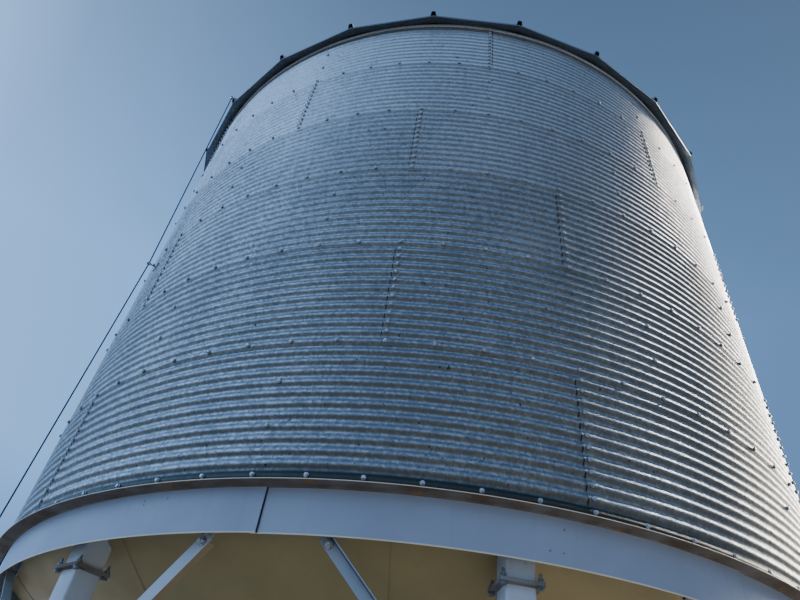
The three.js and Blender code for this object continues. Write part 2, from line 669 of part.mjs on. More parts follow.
// The opener rope, from the lever over the eave and down through the guides to the cleat.
function openerRope() {
  const around = (place) => at(place.radius, place.azimuth, place.z);
  const start = at(LEVER_RADIUS + ROPE_START_OUT, OPENER_AZIMUTH, LEVER_TOP - ROPE_START_DOWN);
  const cleatReach = CLEAT_STANDOFF + CLEAT_BAR + ROPE_DIAMETER / 2 + 2 * GAP;
  const end = at(LEG_FACE_RADIUS + cleatReach, CLEAT_AZIMUTH, CLEAT_Z + ROPE_END_UP);
  const corners = [start, around(EAVE_EYE), around(WALL_EYE), around(SKIRT_EYE), end];
  const points = [start];
  for (let i = 1; i < corners.length - 1; i += 1) {
    const corner = corners[i];
    const towards = (other) => corner.clone().lerp(other, BEND_REACH / corner.distanceTo(other));
    const bend = new THREE.QuadraticBezierCurve3(towards(corners[i - 1]), corner, towards(corners[i + 1]));
    points.push(...bend.getPoints(BEND_STEPS));
  }
  points.push(end);
  const steps = points.length - 1;
  const route = new THREE.Curve();
  route.getPoint = (t) => {
    const i = Math.min(Math.floor(t * steps), steps - 1);
    return points[i].clone().lerp(points[i + 1], t * steps - i);
  };
  route.getPointAt = route.getPoint;
  route.getTangentAt = (t) => {
    const i = Math.round(t * steps);
    return points[Math.min(i + 1, steps)].clone().sub(points[Math.max(i - 1, 0)]).normalize();
  };
  const section = new THREE.Shape();
  for (let side = 0; side < ROPE_SIDES; side += 1) {
    const turn = (2 * Math.PI * side) / ROPE_SIDES;
    const point = [(Math.cos(turn) * ROPE_DIAMETER) / 2, (Math.sin(turn) * ROPE_DIAMETER) / 2];
    if (side === 0) section.moveTo(...point);
    else section.lineTo(...point);
  }
  return new THREE.ExtrudeGeometry(section, { steps, extrudePath: route, bevelEnabled: false });
}

for (let number = 1; number <= TIER_COUNT; number += 1) {
  add(`wall_tier_${number}`, wallTier(number), galvanised);
}
add('base_angle_ring', baseAngleRing(), rustySteel);
add('skirt_band', skirtBand(), whitePaint);
add('hopper_cone', hopperCone(), creamPaint);
const legSolid = leg();
const stubSolid = legStub();
const braceSolids = { left: kneeBrace(-1), right: kneeBrace(1) };
for (let bay = 0; bay < BAY_COUNT; bay += 1) {
  const azimuth = FIRST_LEG_AZIMUTH + bay * BAY_ANGLE;
  add(`leg_${bay + 1}`, legSolid, whitePaint, azimuth);
  add(`leg_stub_${bay + 1}`, stubSolid, creamPaint, azimuth);
  for (const [side, solid] of Object.entries(braceSolids)) {
    add(`knee_brace_${bay + 1}_${side}`, solid, whitePaint, azimuth);
  }
}
add('outlet_neck', outletNeck(), whitePaint);
add('slide_gate_frame', slideGateFrame(), darkSteel);
add('slide_gate_blade', slideGateBlade(), galvanised);
add('roof', roof(), roofSteel);
add('peak_collar', peakCollar(), roofSteel);
add('peak_ring', peakRing(), roofSteel);
add('roof_lid', roofLid(), roofSteel);
add('lid_band', lidBand(), roofSteel);
add('lid_lever', lidLever(), darkSteel, OPENER_AZIMUTH);
add('eave_guide', eaveGuide(), darkSteel, EAVE_EYE.azimuth);
const wallFace = WALL_OUTER * FACET;
const skirtFace = skirtOuter(SKIRT_EYE.azimuth) * FACET;
add('wall_guide', standoffGuide(wallFace, WALL_EYE), darkSteel, WALL_EYE.azimuth);
add('skirt_guide', standoffGuide(skirtFace, SKIRT_EYE), darkSteel, SKIRT_EYE.azimuth);
add('rope_cleat', ropeCleat(), darkSteel, CLEAT_AZIMUTH);
add('opener_rope', openerRope(), cordFibre);

export default silo;
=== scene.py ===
"""The looks of a hopper-bottom grain silo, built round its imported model.

Metres, +Z up. An azimuth is in degrees from -Y towards +X, and the silo's centre line is the Z axis.
"""
import math
import random

import bpy
from mathutils import Matrix, Vector


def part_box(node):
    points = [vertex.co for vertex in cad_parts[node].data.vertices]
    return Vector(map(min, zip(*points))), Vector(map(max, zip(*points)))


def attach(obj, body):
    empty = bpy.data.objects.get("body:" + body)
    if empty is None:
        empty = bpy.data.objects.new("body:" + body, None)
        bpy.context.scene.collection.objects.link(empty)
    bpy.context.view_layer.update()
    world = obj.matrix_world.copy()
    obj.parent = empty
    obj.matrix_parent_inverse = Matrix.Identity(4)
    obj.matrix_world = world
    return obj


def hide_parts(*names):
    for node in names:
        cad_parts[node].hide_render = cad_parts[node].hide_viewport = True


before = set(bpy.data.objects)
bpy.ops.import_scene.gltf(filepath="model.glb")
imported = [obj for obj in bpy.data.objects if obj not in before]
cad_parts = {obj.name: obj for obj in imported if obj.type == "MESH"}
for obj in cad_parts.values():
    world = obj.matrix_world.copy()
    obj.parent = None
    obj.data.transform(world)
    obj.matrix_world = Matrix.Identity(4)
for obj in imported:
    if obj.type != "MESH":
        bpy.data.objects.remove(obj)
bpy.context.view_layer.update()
MM = 0.001
UP = Vector((0, 0, 1))

# Bolts and screws, each as its size across the flats and the radius of its washer.
WALL_BOLT = (17 * MM, 12 * MM)
FLANGE_BOLT = (24 * MM, 17 * MM)
BRACE_BOLT = (30 * MM, 20 * MM)
FOOT_BOLT = (24 * MM, 18 * MM)
GATE_BOLT = (16 * MM, 12 * MM)
ROOF_SCREW = (10 * MM, 8 * MM)
BOLT_SIDES = 10
SEAL_PROUD = 1.5 * MM

# The wall: rings of corrugated sheets, bolted together on the crests.
TIER_COUNT = 6
WALL_RADIUS = 2910 * MM
WAVE_COUNT = 12
WAVE_HEIGHT = 6.5 * MM
WAVE_STEPS = 8
SHEET_STEPS = 36
SHEET_THICKNESS = 1.1 * MM
SHEETS_PER_RING = 6
SHEET_ANGLE = 360 / SHEETS_PER_RING
FIRST_BOLT_ABOVE_FOOT = 26.4 * MM
BOLTS_PER_RING = 72
BOLT_ANGLE = 360 / BOLTS_PER_RING
BOLT_AZIMUTH = 0.2
SEAM_AZIMUTHS = (15.2, -4.8, 15.2, -4.8, -24.8, 5.2)
SEAM_SIDES = (-1, -1, -1, -1, -1, 1)
SEAM_LAP = 27 * MM
LAP_PROUD = 2.4 * MM
TIER_PROUD = 1.4 * MM
LAP_BLEND = 45 * MM
SEAM_BEAD_WIDTH = 6 * MM
TIER_LAP = 52 * MM
# Each ring's tone, from the bottom up: the lower rings are made duller and darker.
RING_TONES = (1.2, 1.0, 0.85, 0.5, 0.05, -0.4)
SHEET_TONE_SPREAD = 0.12
# The crests in the middle of a sheet that have a bolt too, counted from its foot.
PLAIN_BOLT_WAVES = (4, 8)
SEAM_WANDER = 0.02
# The dark bead at a sheet's end, mastic and painted shadow of the gap under the end: where it starts under a
# crest and how far it reaches, as shares of the pitch.
BEAD_STEPS = 5
BEAD_START = 0.06
BEAD_REACH = 0.4
BEAD_PROUD = 0.8 * MM
BEAD_DEPTH = 5 * MM
TOP_STRIP_HEIGHT = 34 * MM
TOP_STRIP_THICKNESS = 4 * MM
SPANGLE_SIZE = 14 * MM
# The heights, in metres, over which the painted shade on the downward flanks weakens.
DOWN_SHADE_LOW = 3
DOWN_SHADE_HIGH = 6
# The band at the wall's foot that is made darker, from its bottom to where it fades out.
FOOT_BAND_LOW = 2.745
FOOT_BAND_HIGH = 2.775
LEDGE_RADIUS = 2947 * MM
LEDGE_THICKNESS = 6 * MM
LEDGE_UPSTAND_RADIUS = 2903.2 * MM
LEDGE_BEVEL = 1.5 * MM
LEDGE_WELD = 4 * MM

# The hopper, its skirt, its legs and its outlet.
BAY_COUNT = 8
BAY_ANGLE = 360 / BAY_COUNT
FIRST_LEG = 9.15
FIRST_SKIRT_SEAM = -13.5
ROUND_STEPS = 288
SKIRT_INNER_RADIUS = 2864 * MM
SKIRT_THICKNESS = 4.5 * MM
SKIRT_LAP = 9 * MM
SKIRT_EDGE = 5 * MM
SKIRT_SEAM_WIDTH = 5 * MM
SKIRT_LAP_WIDTH = 28 * MM
SKIRT_EDGE_INSET = 1.2 * MM
# The plugged holes near the front, as (azimuth, millimetres below the skirt's top).
SKIRT_PLUGS = ((-26.3, 42), (-26.3, 58), (-23.6, 40), (12.6, 52), (11.2, 150), (12.4, 150))
PLUG_RADIUS = 4 * MM
PLUG_SIDES = 10
CONE_SLOPE = 0.69
CONE_THICKNESS = 6 * MM
CONE_RISE = CONE_THICKNESS * math.hypot(1, CONE_SLOPE)
CONE_PLATES = 12
CONE_SEAM = -2.3
CONE_LAP = 3 * MM
CONE_LAP_ANGLE = 1.2
CONE_STEPS = 20
CONE_RADII = (900 * MM, 1700 * MM, 2400 * MM)
# A seam's weld is a row of beads. Half a bead's length along the seam, and half its width.
CONE_BEADS = 60
CONE_BEAD = (22 * MM, 2 * MM)
CONE_BEAD_CORNER = 1.9 * MM
CONE_BEAD_HEIGHT = 1.5 * MM
OUTLET_RADIUS = 232 * MM
LEG_WIDTH = 130 * MM
LEG_DEPTH = 136 * MM
LEG_FACE = 2799 * MM
LEG_CORNER = 11 * MM
LEG_MIDDLE = LEG_DEPTH / 2 - LEG_FACE
LEG_WELD = 4 * MM
LEG_WELD_HEIGHT = 5 * MM
WORN_EDGE = 0.8 * MM
FLANGE_WIDTH = 190 * MM
FLANGE_DEPTH = 194 * MM
FLANGE_FRONT = 28 * MM
FLANGE_THICKNESS = 7 * MM
FLANGE_CORNER = 5 * MM
FLANGE_BOLT_INSET = 16 * MM
FOOT_WIDTH = 260 * MM
FOOT_DEPTH = 290 * MM
FOOT_THICKNESS = 12 * MM
FOOT_CORNER = 6 * MM
FOOT_BOLT_INSET = 28 * MM
BRACE_RIGHT = (63 * MM, 40 * MM)
BRACE_LEFT = (50 * MM, 50 * MM)
BRACE_THICKNESS = 5 * MM
BRACE_FOOT_END = 26 * MM
BRACE_TOP_END = 38 * MM
BRACE_FLANGE_START = 50 * MM
BRACE_FLANGE_END = 20 * MM
BRACE_PLATE = 8 * MM
BRACE_TOP = (2794 * MM, 16.5, 2479 * MM)
BRACE_FOOT = (108 * MM, 2789 * MM, 1760 * MM)
TAB_FOOT = ((-16, -18), (16, -18), (29, 0), (58, 40), (75, 62))
TAB_LEFT = -30 * MM
TAB_HOLE = (-14 * MM, 35 * MM)
GUSSET = ((-60 * MM, -35 * MM), (33 * MM, 35 * MM))
GUSSET_CORNER = 8 * MM
GATE_BOLTS = 12
GATE_BOLT_CIRCLE = 258 * MM
FIRST_GATE_BOLT = 15
NECK_FLANGE_THICKNESS = 6 * MM
GAP = 0.3 * MM

# The roof.
ROOF_SIDES = 24
ROOF_PHASE = -5
ROOF_SLOPE = math.tan(math.radians(30))
EAVE_APOTHEM = 2996 * MM
PEAK_APOTHEM = 380 * MM
ROOF_THICKNESS = 6 * MM
EAVE_LIP = 14 * MM
EAVE_LIP_SHEET = 2.5 * MM
RIB_HEIGHT = 45 * MM
RIB_BASE = 56 * MM
RIB_TOP = 34 * MM
RIB_SHEET = 2 * MM
RIB_FLANGE = 18 * MM
RIB_FLANGE_SHORT = 70 * MM
RIB_INNER = 480 * MM
RIB_OUTER = 3018 * MM
RIB_SCREWS = 9
TOP_STEPS = 96
COLLAR_RADIUS = 374 * MM
COLLAR_SHEET = 5 * MM
PEAK_RING_RADIUS = 455 * MM
LID_RADIUS = 396 * MM
LID_SHEET = 4 * MM
LID_CAP_RADIUS = 9 * MM

# The opener rope: its corners from the lid's lever to the cleat, as (radius, azimuth, height).
ROPE_CORNERS = (
    (349 * MM, -50, 9020.5 * MM),
    (3056 * MM, -50, 7187 * MM),
    (2975 * MM, -51, 4800 * MM),
    (3010 * MM, -56, 2518 * MM),
    (2846.1 * MM, FIRST_LEG - BAY_ANGLE, 1280 * MM),
)
ROPE_DIAMETER = 11 * MM
ROPE_LAY = 44 * MM
ROPE_STRANDS = 3
ROPE_BEND = 14 * MM
ROPE_BEND_STEPS = 5
STRAND_RADIUS = 0.27 * ROPE_DIAMETER
STRAND_SIDES = 6
STRAND_STEPS = 8

# The camera stands where the photograph was taken from, seen from the silo's centre line.
EYE = Vector((0, -5.4625, 1.513))
EYE_YAW = -0.0764
EYE_PITCH = 0.7723
EYE_ROLL = 0.1434
FOCAL_PIXELS = 623.89
FRAME_WIDTH = 800
FRAME_HEIGHT = 600
OPTICAL_CENTRE = (405.40, 266.82)
SENSOR_WIDTH = 36
FLOOR_RADIUS = 60


def around(radius, azimuth, z):
    """The point at a radius, azimuth and height."""
    turn = math.radians(azimuth)
    return Vector((radius * math.sin(turn), -radius * math.cos(turn), z))


def turned_to(azimuth):
    """The rotation from azimuth 0 to an azimuth."""
    return Matrix.Rotation(math.radians(azimuth), 4, "Z")


def standing(origin, x_axis, y_axis):
    """The placing of a form with its x and y along two directions."""
    x_axis = x_axis.normalized()
    y_axis = y_axis.normalized()
    place = Matrix((x_axis, y_axis, x_axis.cross(y_axis))).transposed().to_4x4()
    place.translation = origin
    return place


def outward(radius, azimuth, z):
    """The placing of a fastener that stands straight out from the silo."""
    return standing(around(radius, azimuth, z), UP.cross(around(1, azimuth, 0)), UP)


class Form:
    """The vertices and faces of a piece while it is made."""

    def __init__(self):
        self.vertices = []
        self.faces = []
        self.tones = []
        self.paints = []

    def add(self, vertices, faces, place=None, tone=0.0, paint=0):
        """Adds a closed shape, placed, with its tone and the number of its material."""
        first = len(self.vertices)
        if place is not None:
            vertices = [place @ Vector(v) for v in vertices]
        self.vertices.extend(vertices)
        self.faces.extend([tuple(first + i for i in face) for face in faces])
        self.tones.extend([tone] * len(vertices))
        self.paints.extend([paint] * len(faces))

    def include(self, other, rotation):
        """Adds all of another form, rotated."""
        first = len(self.vertices)
        self.vertices.extend([rotation @ Vector(v) for v in other.vertices])
        self.faces.extend([tuple(first + i for i in face) for face in other.faces])
        self.tones.extend(other.tones)
        self.paints.extend(other.paints)

    def turned(self, rotation):
        """A copy of the form, rotated."""
        copy = Form()
        copy.include(self, rotation)
        return copy


def form_of(*shapes):
    """A form of closed shapes."""
    form = Form()
    for shape in shapes:
        form.add(*shape)
    return form


def grid_shell(rows):
    """A closed shell between an outer and an inner grid: rows of (outer, inner) point pairs."""
    height = len(rows)
    width = len(rows[0])
    vertices = [pair[side] for side in (0, 1) for row in rows for pair in row]
    shift = height * width
    last = shift - width
    faces = []
    for row in range(0, last, width):
        for here in range(row, row + width - 1):
            quad = (here, here + 1, here + width + 1, here + width)
            faces.append(quad)
            faces.append(tuple(shift + i for i in reversed(quad)))
    edges = []
    for column in range(width - 1):
        edges += [(column + 1, column), (last + column, last + column + 1)]
    for row in range(0, last, width):
        edges += [(row, row + width), (row + 2 * width - 1, row + width - 1)]
    faces += [(a, b, shift + b, shift + a) for a, b in edges]
    return vertices, faces


def lathe(profile, steps=ROUND_STEPS):
    """A closed profile of (radius, height) points, counted anticlockwise, turned about the Z axis."""
    count = len(profile)
    vertices = [around(radius, 360 * step / steps, z) for step in range(steps) for radius, z in profile]
    faces = []
    for step in range(steps):
        here = step * count
        there = (step + 1) % steps * count
        for i in range(count):
            j = (i + 1) % count
            faces.append((here + i, there + i, there + j, here + j))
    return vertices, faces


def rounded_rectangle(low, high, radius, steps=4):
    """The outline of a rectangle with round corners."""
    corners = (
        (high[0] - radius, low[1] + radius, -90),
        (high[0] - radius, high[1] - radius, 0),
        (low[0] + radius, high[1] - radius, 90),
        (low[0] + radius, low[1] + radius, 180),
    )
    outline = []
    for x, y, start in corners:
        for step in range(steps + 1):
            turn = math.radians(start + 90 * step / steps)
            outline.append((x + radius * math.cos(turn), y + radius * math.sin(turn)))
    return outline


def circle(radius, sides):
    """The outline of a regular polygon."""
    turns = [2 * math.pi * i / sides for i in range(sides)]
    return [(radius * math.cos(turn), radius * math.sin(turn)) for turn in turns]


def stacked(outlines):
    """A closed solid through outlines of as many points each, given as (outline, z) from low to high."""
    count = len(outlines[0][0])
    vertices = [(x, y, z) for outline, z in outlines for x, y in outline]
    last = (len(outlines) - 1) * count
    faces = [tuple(reversed(range(count))), tuple(range(last, last + count))]
    for layer in range(0, last, count):
        for i in range(count):
            j = (i + 1) % count
            faces.append((layer + i, layer + j, layer + count + j, layer + count + i))
    return vertices, faces


def prism(outline, low, high):
    """An outline of (x, y) points, counted anticlockwise, extruded from low to high along z."""
    return stacked([(outline, low), (outline, high)])


def turned_stack(rings, sides):
    """A closed solid through circles, given as (radius, z) from low to high."""
    return stacked([(circle(radius, sides), z) for radius, z in rings])


def add_bolt(form, place, bolt, shank=0.0, steel=0):
    """A hexagon head on a dished washer with the seal under it, and the thread's end if there is a nut.

    bolt is its size across the flats and its washer's radius. steel is the number of its material, and the
    seal of a bolt of material 0 is of material 1.
    """
    size, washer = bolt
    half = size / math.sqrt(3)
    head = 0.5 * size
    plate = 0.2 * washer
    # The ring under the washer is the rubber seal; for a bolt of material 0 it is black, which also paints
    # the shadow round the washer's foot.
    form.add(*prism(circle(washer + SEAL_PROUD, BOLT_SIDES), -1 * MM, 0.4 * plate), place, paint=steel or 1)
    stacks = [
        (((washer, 0.3 * plate), (washer, 0.7 * plate), (0.75 * washer, plate)), BOLT_SIDES),
        (((half, plate), (half, plate + 0.8 * head), (0.84 * half, plate + head)), 6),
    ]
    if shank:
        thread = 0.3 * size
        nut = plate + head
        stacks.append((
            ((thread, plate + 0.9 * head), (thread, nut + 0.85 * shank), (0.22 * size, nut + shank)),
            8,
        ))
    for rings, sides in stacks:
        form.add(*turned_stack(rings, sides), place, paint=steel)


def linear(hex_text):
    """An sRGB hex colour as linear RGBA."""
    channels = [int(hex_text[i:i + 2], 16) / 255 for i in (1, 3, 5)]
    return [c / 12.92 if c <= 0.04045 else ((c + 0.055) / 1.055) ** 2.4 for c in channels] + [1.0]


def add_node(tree, kind, values=None, output=0):
    """Adds a node to a tree, with its settings and links, and gives one of its outputs.

    kind is its type without ShaderNode in front. values holds its properties by name, and its inputs by name
    or number. An input takes a number, a hex colour, or another node's output.
    """
    node = tree.nodes.new(f"ShaderNode{kind}")
    for name, value in (values or {}).items():
        if isinstance(name, str) and hasattr(node, name):
            setattr(node, name, value)
        elif isinstance(value, bpy.types.NodeSocket):
            tree.links.new(value, node.inputs[name])
        else:
            node.inputs[name].default_value = linear(value) if isinstance(value, str) else value
    return node.outputs[output] if node.outputs else None


def new_material(name):
    """An empty material with its node tree and its coordinates in metres."""
    material = bpy.data.materials.new(name)
    material.use_nodes = True
    tree = material.node_tree
    tree.nodes.clear()
    return material, tree, add_node(tree, "TexCoord", None, "Object")


def patches(tree, place, size, detail, low, high, end=1.0, stretch=None):
    """Patches size metres across, stretched along the axes: 0 where noise is low, end where it is high."""
    if stretch:
        place = add_node(tree, "Mapping", {"Scale": stretch, "Vector": place})
    cloud = add_node(tree, "TexNoise", {"Scale": 1 / size, "Detail": detail, "Vector": place})
    return add_node(tree, "MapRange", {0: cloud, 1: low, 2: high, 4: end})


def layered(tree, colour, layers):
    """A colour with others over it, as (share, colour) pairs from the lowest up."""
    for share, over in layers:
        colour = add_node(tree, "Mix", {"data_type": "RGBA", 0: share, 6: colour, 7: over}, 2)
    return colour


def facing_down(tree, start, end):
    """How far a surface faces down: 0 where its normal's height is over start, 1 where it is under end."""
    normal = add_node(tree, "NewGeometry", None, "Normal")
    height = add_node(tree, "SeparateXYZ", {0: normal}, 2)
    return add_node(tree, "MapRange", {0: height, 1: start, 2: end})


def add_shader(tree, values, heights=()):
    """The shader and the output. heights are (value, depth in metres) pairs for the bump."""
    normal = {}
    for height, depth in heights:
        bump = {"Height": height, "Distance": depth, "Strength": 1.0, **normal}
        normal = {"Normal": add_node(tree, "Bump", bump)}
    shader = add_node(tree, "BsdfPrincipled", {**values, **normal})
    add_node(tree, "OutputMaterial", {"Surface": shader})


def galvanised(name, bright, dull, down_shade_colour):
    """Hot-dip galvanised steel sheet: zinc spangle under a dull oxide in patches and run-down streaks.

    The flanks that face down are darkened with painted shade, for the dark ground they reflect, most of all
    low on the wall. A narrow band at the wall's foot, just above the ledge, is darker too.
    """
    material, tree, place = new_material(name)
    spangle = add_node(tree, "TexVoronoi", {"Scale": 1 / SPANGLE_SIZE, "Vector": place}, "Color")
    grain = add_node(tree, "SeparateColor", {0: spangle})
    ring_tone = add_node(tree, "Attribute", {"attribute_name": "tone"}, "Fac")
    bloom = patches(tree, place, 450 * MM, 5.0, 0.35, 0.68, stretch=(1, 1, 0.6))
    streaks = patches(tree, place, 35 * MM, 4.0, 0.48, 0.72, stretch=(1, 1, 0.06))
    oxide = 0.0
    for cause, weight in ((bloom, 0.3), (ring_tone, 0.6), (grain, 0.7), (streaks, 0.15)):
        oxide = add_node(tree, "Math", {"operation": "MULTIPLY_ADD", 0: cause, 1: weight, 2: oxide})
    oxide = add_node(tree, "MapRange", {0: oxide, 1: 0.1, 2: 1.4})
    height = add_node(tree, "SeparateXYZ", {0: place}, 2)
    down_shade_by_height = {0: height, 1: DOWN_SHADE_LOW, 2: DOWN_SHADE_HIGH, 3: 0.8, 4: 0.55}
    down_shade_by_height = add_node(tree, "MapRange", down_shade_by_height)
    # Painted shade: faces that face down are darkened towards the last colour, most of all low down, for the
    # dark ground they reflect and the shade under the roof.
    under = facing_down(tree, -0.08, -0.42)
    grime = add_node(tree, "Math", {"operation": "MULTIPLY", 0: under, 1: down_shade_by_height})
    # The wall is made darker in a narrow band at its foot, just above the ledge.
    foot_band = {0: height, 1: FOOT_BAND_LOW, 2: FOOT_BAND_HIGH, 3: 0.95, 4: 0.0}
    foot_band = add_node(tree, "MapRange", foot_band)
    specks = patches(tree, place, 20 * MM, 2.0, 0.69, 0.74)
    colour = layered(tree, bright, (
        (oxide, dull),
        (grime, down_shade_colour),
        (foot_band, "#3d423f"),
        (specks, "#2c2f32"),
    ))
    roughness = add_node(tree, "MapRange", {0: oxide, 3: 0.3, 4: 0.54})
    dents = add_node(tree, "TexNoise", {"Scale": 1 / (220 * MM), "Detail": 2.0, "Vector": place})
    values = {"Metallic": 0.9, "Base Color": colour, "Roughness": roughness}
    add_shader(tree, values, ((grain, 0.03 * MM), (dents, 1.6 * MM)))
    return material


def enamel(name, paint, grime, rust_share=0.0, underside_rust_and_shade=None):
    """Sprayed enamel on steel plate: satin, with dust, run-down grime and rust where it has chipped."""
    material, tree, place = new_material(name)
    dust = patches(tree, place, 300 * MM, 5.0, 0.35, 0.75)
    runs = patches(tree, place, 30 * MM, 4.0, 0.58, 0.85, 0.5, (1, 1, 0.05))
    dirt = add_node(tree, "Math", {"operation": "ADD", 0: dust, 1: runs})
    dirt = add_node(tree, "Math", {"operation": "MULTIPLY", 0: dirt, 1: 0.32})
    chips = {"Scale": 1 / (35 * MM), "Detail": 6.0, "Roughness": 0.65, "Vector": place}
    chips = add_node(tree, "TexNoise", chips)
    chip_edge = 0.72 - 0.12 * rust_share
    chipped = add_node(tree, "MapRange", {0: chips, 1: chip_edge, 2: chip_edge + 0.04})
    shades = add_node(tree, "TexNoise", {"Scale": 1 / (20 * MM), "Detail": 4.0, "Vector": place})
    layers = [(dirt, grime)]
    # The underside colour goes on the faces that face down: on the right braces the tan of bare rusted
    # steel, on the left braces a slate painted shade.
    if underside_rust_and_shade:
        layers.append((facing_down(tree, -0.25, -0.5), underside_rust_and_shade))
    layers.append((chipped, layered(tree, "#5a4530", [(shades, "#937253")])))
    worn = add_node(tree, "Math", {"operation": "MAXIMUM", 0: dirt, 1: chipped})
    roughness = add_node(tree, "MapRange", {0: worn, 3: 0.36, 4: 0.85})
    peel = add_node(tree, "TexNoise", {"Scale": 1 / (6 * MM), "Detail": 2.0, "Vector": place})
    values = {"IOR": 1.5, "Base Color": layered(tree, paint, layers), "Roughness": roughness}
    add_shader(tree, values, ((peel, 0.06 * MM), (chips, 0.25 * MM)))
    return material


def rusted_steel(name, primer, rust, bright_rust):
    """Rolled steel whose primer has gone: brown, matt and scaly, with orange where water stands."""
    material, tree, place = new_material(name)
    spread = patches(tree, place, 160 * MM, 6.0, 0.35, 0.62)
    spots = patches(tree, place, 70 * MM, 5.0, 0.62, 0.72)
    scale = add_node(tree, "TexNoise", {"Scale": 1 / (8 * MM), "Detail": 5.0, "Vector": place})
    colour = layered(tree, primer, ((spread, rust), (spots, bright_rust)))
    add_shader(tree, {"Roughness": 0.82, "IOR": 1.5, "Base Color": colour}, ((scale, 0.5 * MM),))
    return material


def zinc_plate(name, clean, dirty, gloss, metallic=1.0):
    """Zinc-plated or dull steel fittings: metal, clouded, darker where dirt has caught.

    Zinc that has gone chalky is partly matt, so it is less metallic.
    """
    material, tree, place = new_material(name)
    cloud = patches(tree, place, 12 * MM, 4.0, 0.35, 0.7)
    roughness = add_node(tree, "MapRange", {0: cloud, 3: gloss, 4: gloss + 0.25})
    colour = layered(tree, clean, [(cloud, dirty)])
    values = {"Metallic": metallic, "Base Color": colour, "Roughness": roughness}
    add_shader(tree, values, ((cloud, 0.08 * MM),))
    return material


def weathered_fibre(name):
    """Rope fibre: dark, matt and fuzzy, bleached in patches."""
    material, tree, place = new_material(name)
    bleached = patches(tree, place, 90 * MM, 4.0, 0.4, 0.7)
    fuzz = add_node(tree, "TexNoise", {"Scale": 1 / (2 * MM), "Detail": 4.0, "Vector": place})
    colour = layered(tree, "#1a1c20", [(bleached, "#34373d")])
    add_shader(tree, {"Roughness": 0.9, "IOR": 1.5, "Base Color": colour}, ((fuzz, 0.3 * MM),))
    return material


def dark_seal_and_shadow(name):
    """Near black and matt, with dust stuck to it: the mastic and rubber seals at laps and bolts, which also
    serve as painted shadow beside them and as the dark of an empty hole.
    """
    material, tree, place = new_material(name)
    dust = patches(tree, place, 20 * MM, 3.0, 0.45, 0.8, 0.5)
    colour = layered(tree, "#14181d", [(dust, "#4a4f56")])
    add_shader(tree, {"Roughness": 0.8, "IOR": 1.5, "Base Color": colour})
    return material


def studio_floor():
    """A matt, pale, faintly mottled studio floor."""
    material, tree, place = new_material("pale_floor")
    shades = add_node(tree, "TexNoise", {"Scale": 1 / 1.5, "Detail": 3.0, "Vector": place})
    colour = layered(tree, "#a09f9b", [(shades, "#a9a8a4")])
    add_shader(tree, {"Roughness": 0.9, "IOR": 1.45, "Base Color": colour})
    return material


# The last colour of each is painted shade on the faces that face down: the wall's lower flanks and the
# roof's undersides.
wall_zinc = galvanised("galvanised_sheet", "#e3e9ee", "#8c959e", "#54554d")
roof_zinc = galvanised("galvanised_roof_sheet", "#929ca6", "#66707a", "#14243c")
skirt_enamel = enamel("off_white_enamel", "#9faabc", "#7d8591", 0.05)
hopper_enamel = enamel("cream_enamel", "#b09b68", "#7e6d47", 0.05)
leg_enamel = enamel("leg_enamel", "#c2cad3", "#84888d", 0.35)
right_brace_enamel = enamel("right_brace_enamel", "#bcc5cf", "#84888d", 0.2, underside_rust_and_shade="#a58c66")
# Painted shade: the left braces are a darker copy of the braces' paint, with slate painted shade on the
# faces that face down.
left_brace_painted_shade = enamel("left_brace_painted_shade", "#a4aeba", "#6f767e", 0.1, underside_rust_and_shade="#59616b")
gate_enamel = enamel("dark_grey_enamel", "#3a3d40", "#55524d", 0.3)
# Painted highlight: a pale cream on the ledge's outer rim and along the skirt's bottom edge, for the light
# those edges catch.
edge_highlight = enamel("painted_edge_highlight", "#e6dcc4", "#b9ab8c", 0.1)
ledge_rust = rusted_steel("rusted_rolled_angle", "#7c756d", "#635342", "#94683f")
flange_rust = rusted_steel("rusted_flange_plate", "#8a8a88", "#6f6354", "#8a6542")
bolt_zinc = zinc_plate("zinc_plated_bolt", "#d3d9de", "#8b9298", 0.35, 0.6)
pale_strip = zinc_plate("chalky_flat_bar", "#dde2e6", "#aab3bb", 0.45, 0.25)
fitting_zinc = zinc_plate("dull_steel_fitting", "#8d9194", "#55585b", 0.4, 0.7)
rope_fibre = weathered_fibre("weathered_rope_fibre")
seal_and_painted_shadow = dark_seal_and_shadow("seal_and_painted_shadow")


def make_piece(name, form, materials, replaces=(), sharp=35, bevel=0.0):
    """Turns a form into a piece that rides on the silo and stands for CAD nodes."""
    mesh = bpy.data.meshes.new(name)
    mesh.from_pydata([tuple(v) for v in form.vertices], [], form.faces)
    tone = mesh.attributes.new("tone", "FLOAT", "POINT")
    tone.data.foreach_set("value", form.tones)
    for material in materials:
        mesh.materials.append(material)
    mesh.polygons.foreach_set("material_index", form.paints)
    mesh.shade_smooth()
    mesh.set_sharp_from_angle(angle=math.radians(sharp))
    mesh.update()
    piece = bpy.data.objects.new(name, mesh)
    bpy.context.scene.collection.objects.link(piece)
    if bevel:
        edge = piece.modifiers.new("worn_edge", "BEVEL")
        edge.width = bevel
        edge.segments = 2
        edge.limit_method = "ANGLE"
        edge.angle_limit = math.radians(40)
    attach(piece, "root")
    if replaces:
        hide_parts(*replaces)


def wave_radius(z, first_crest, pitch):
    """The radius of the corrugated sheet's middle at a height."""
    return WALL_RADIUS + WAVE_HEIGHT * math.cos(2 * math.pi * (z - first_crest) / pitch)


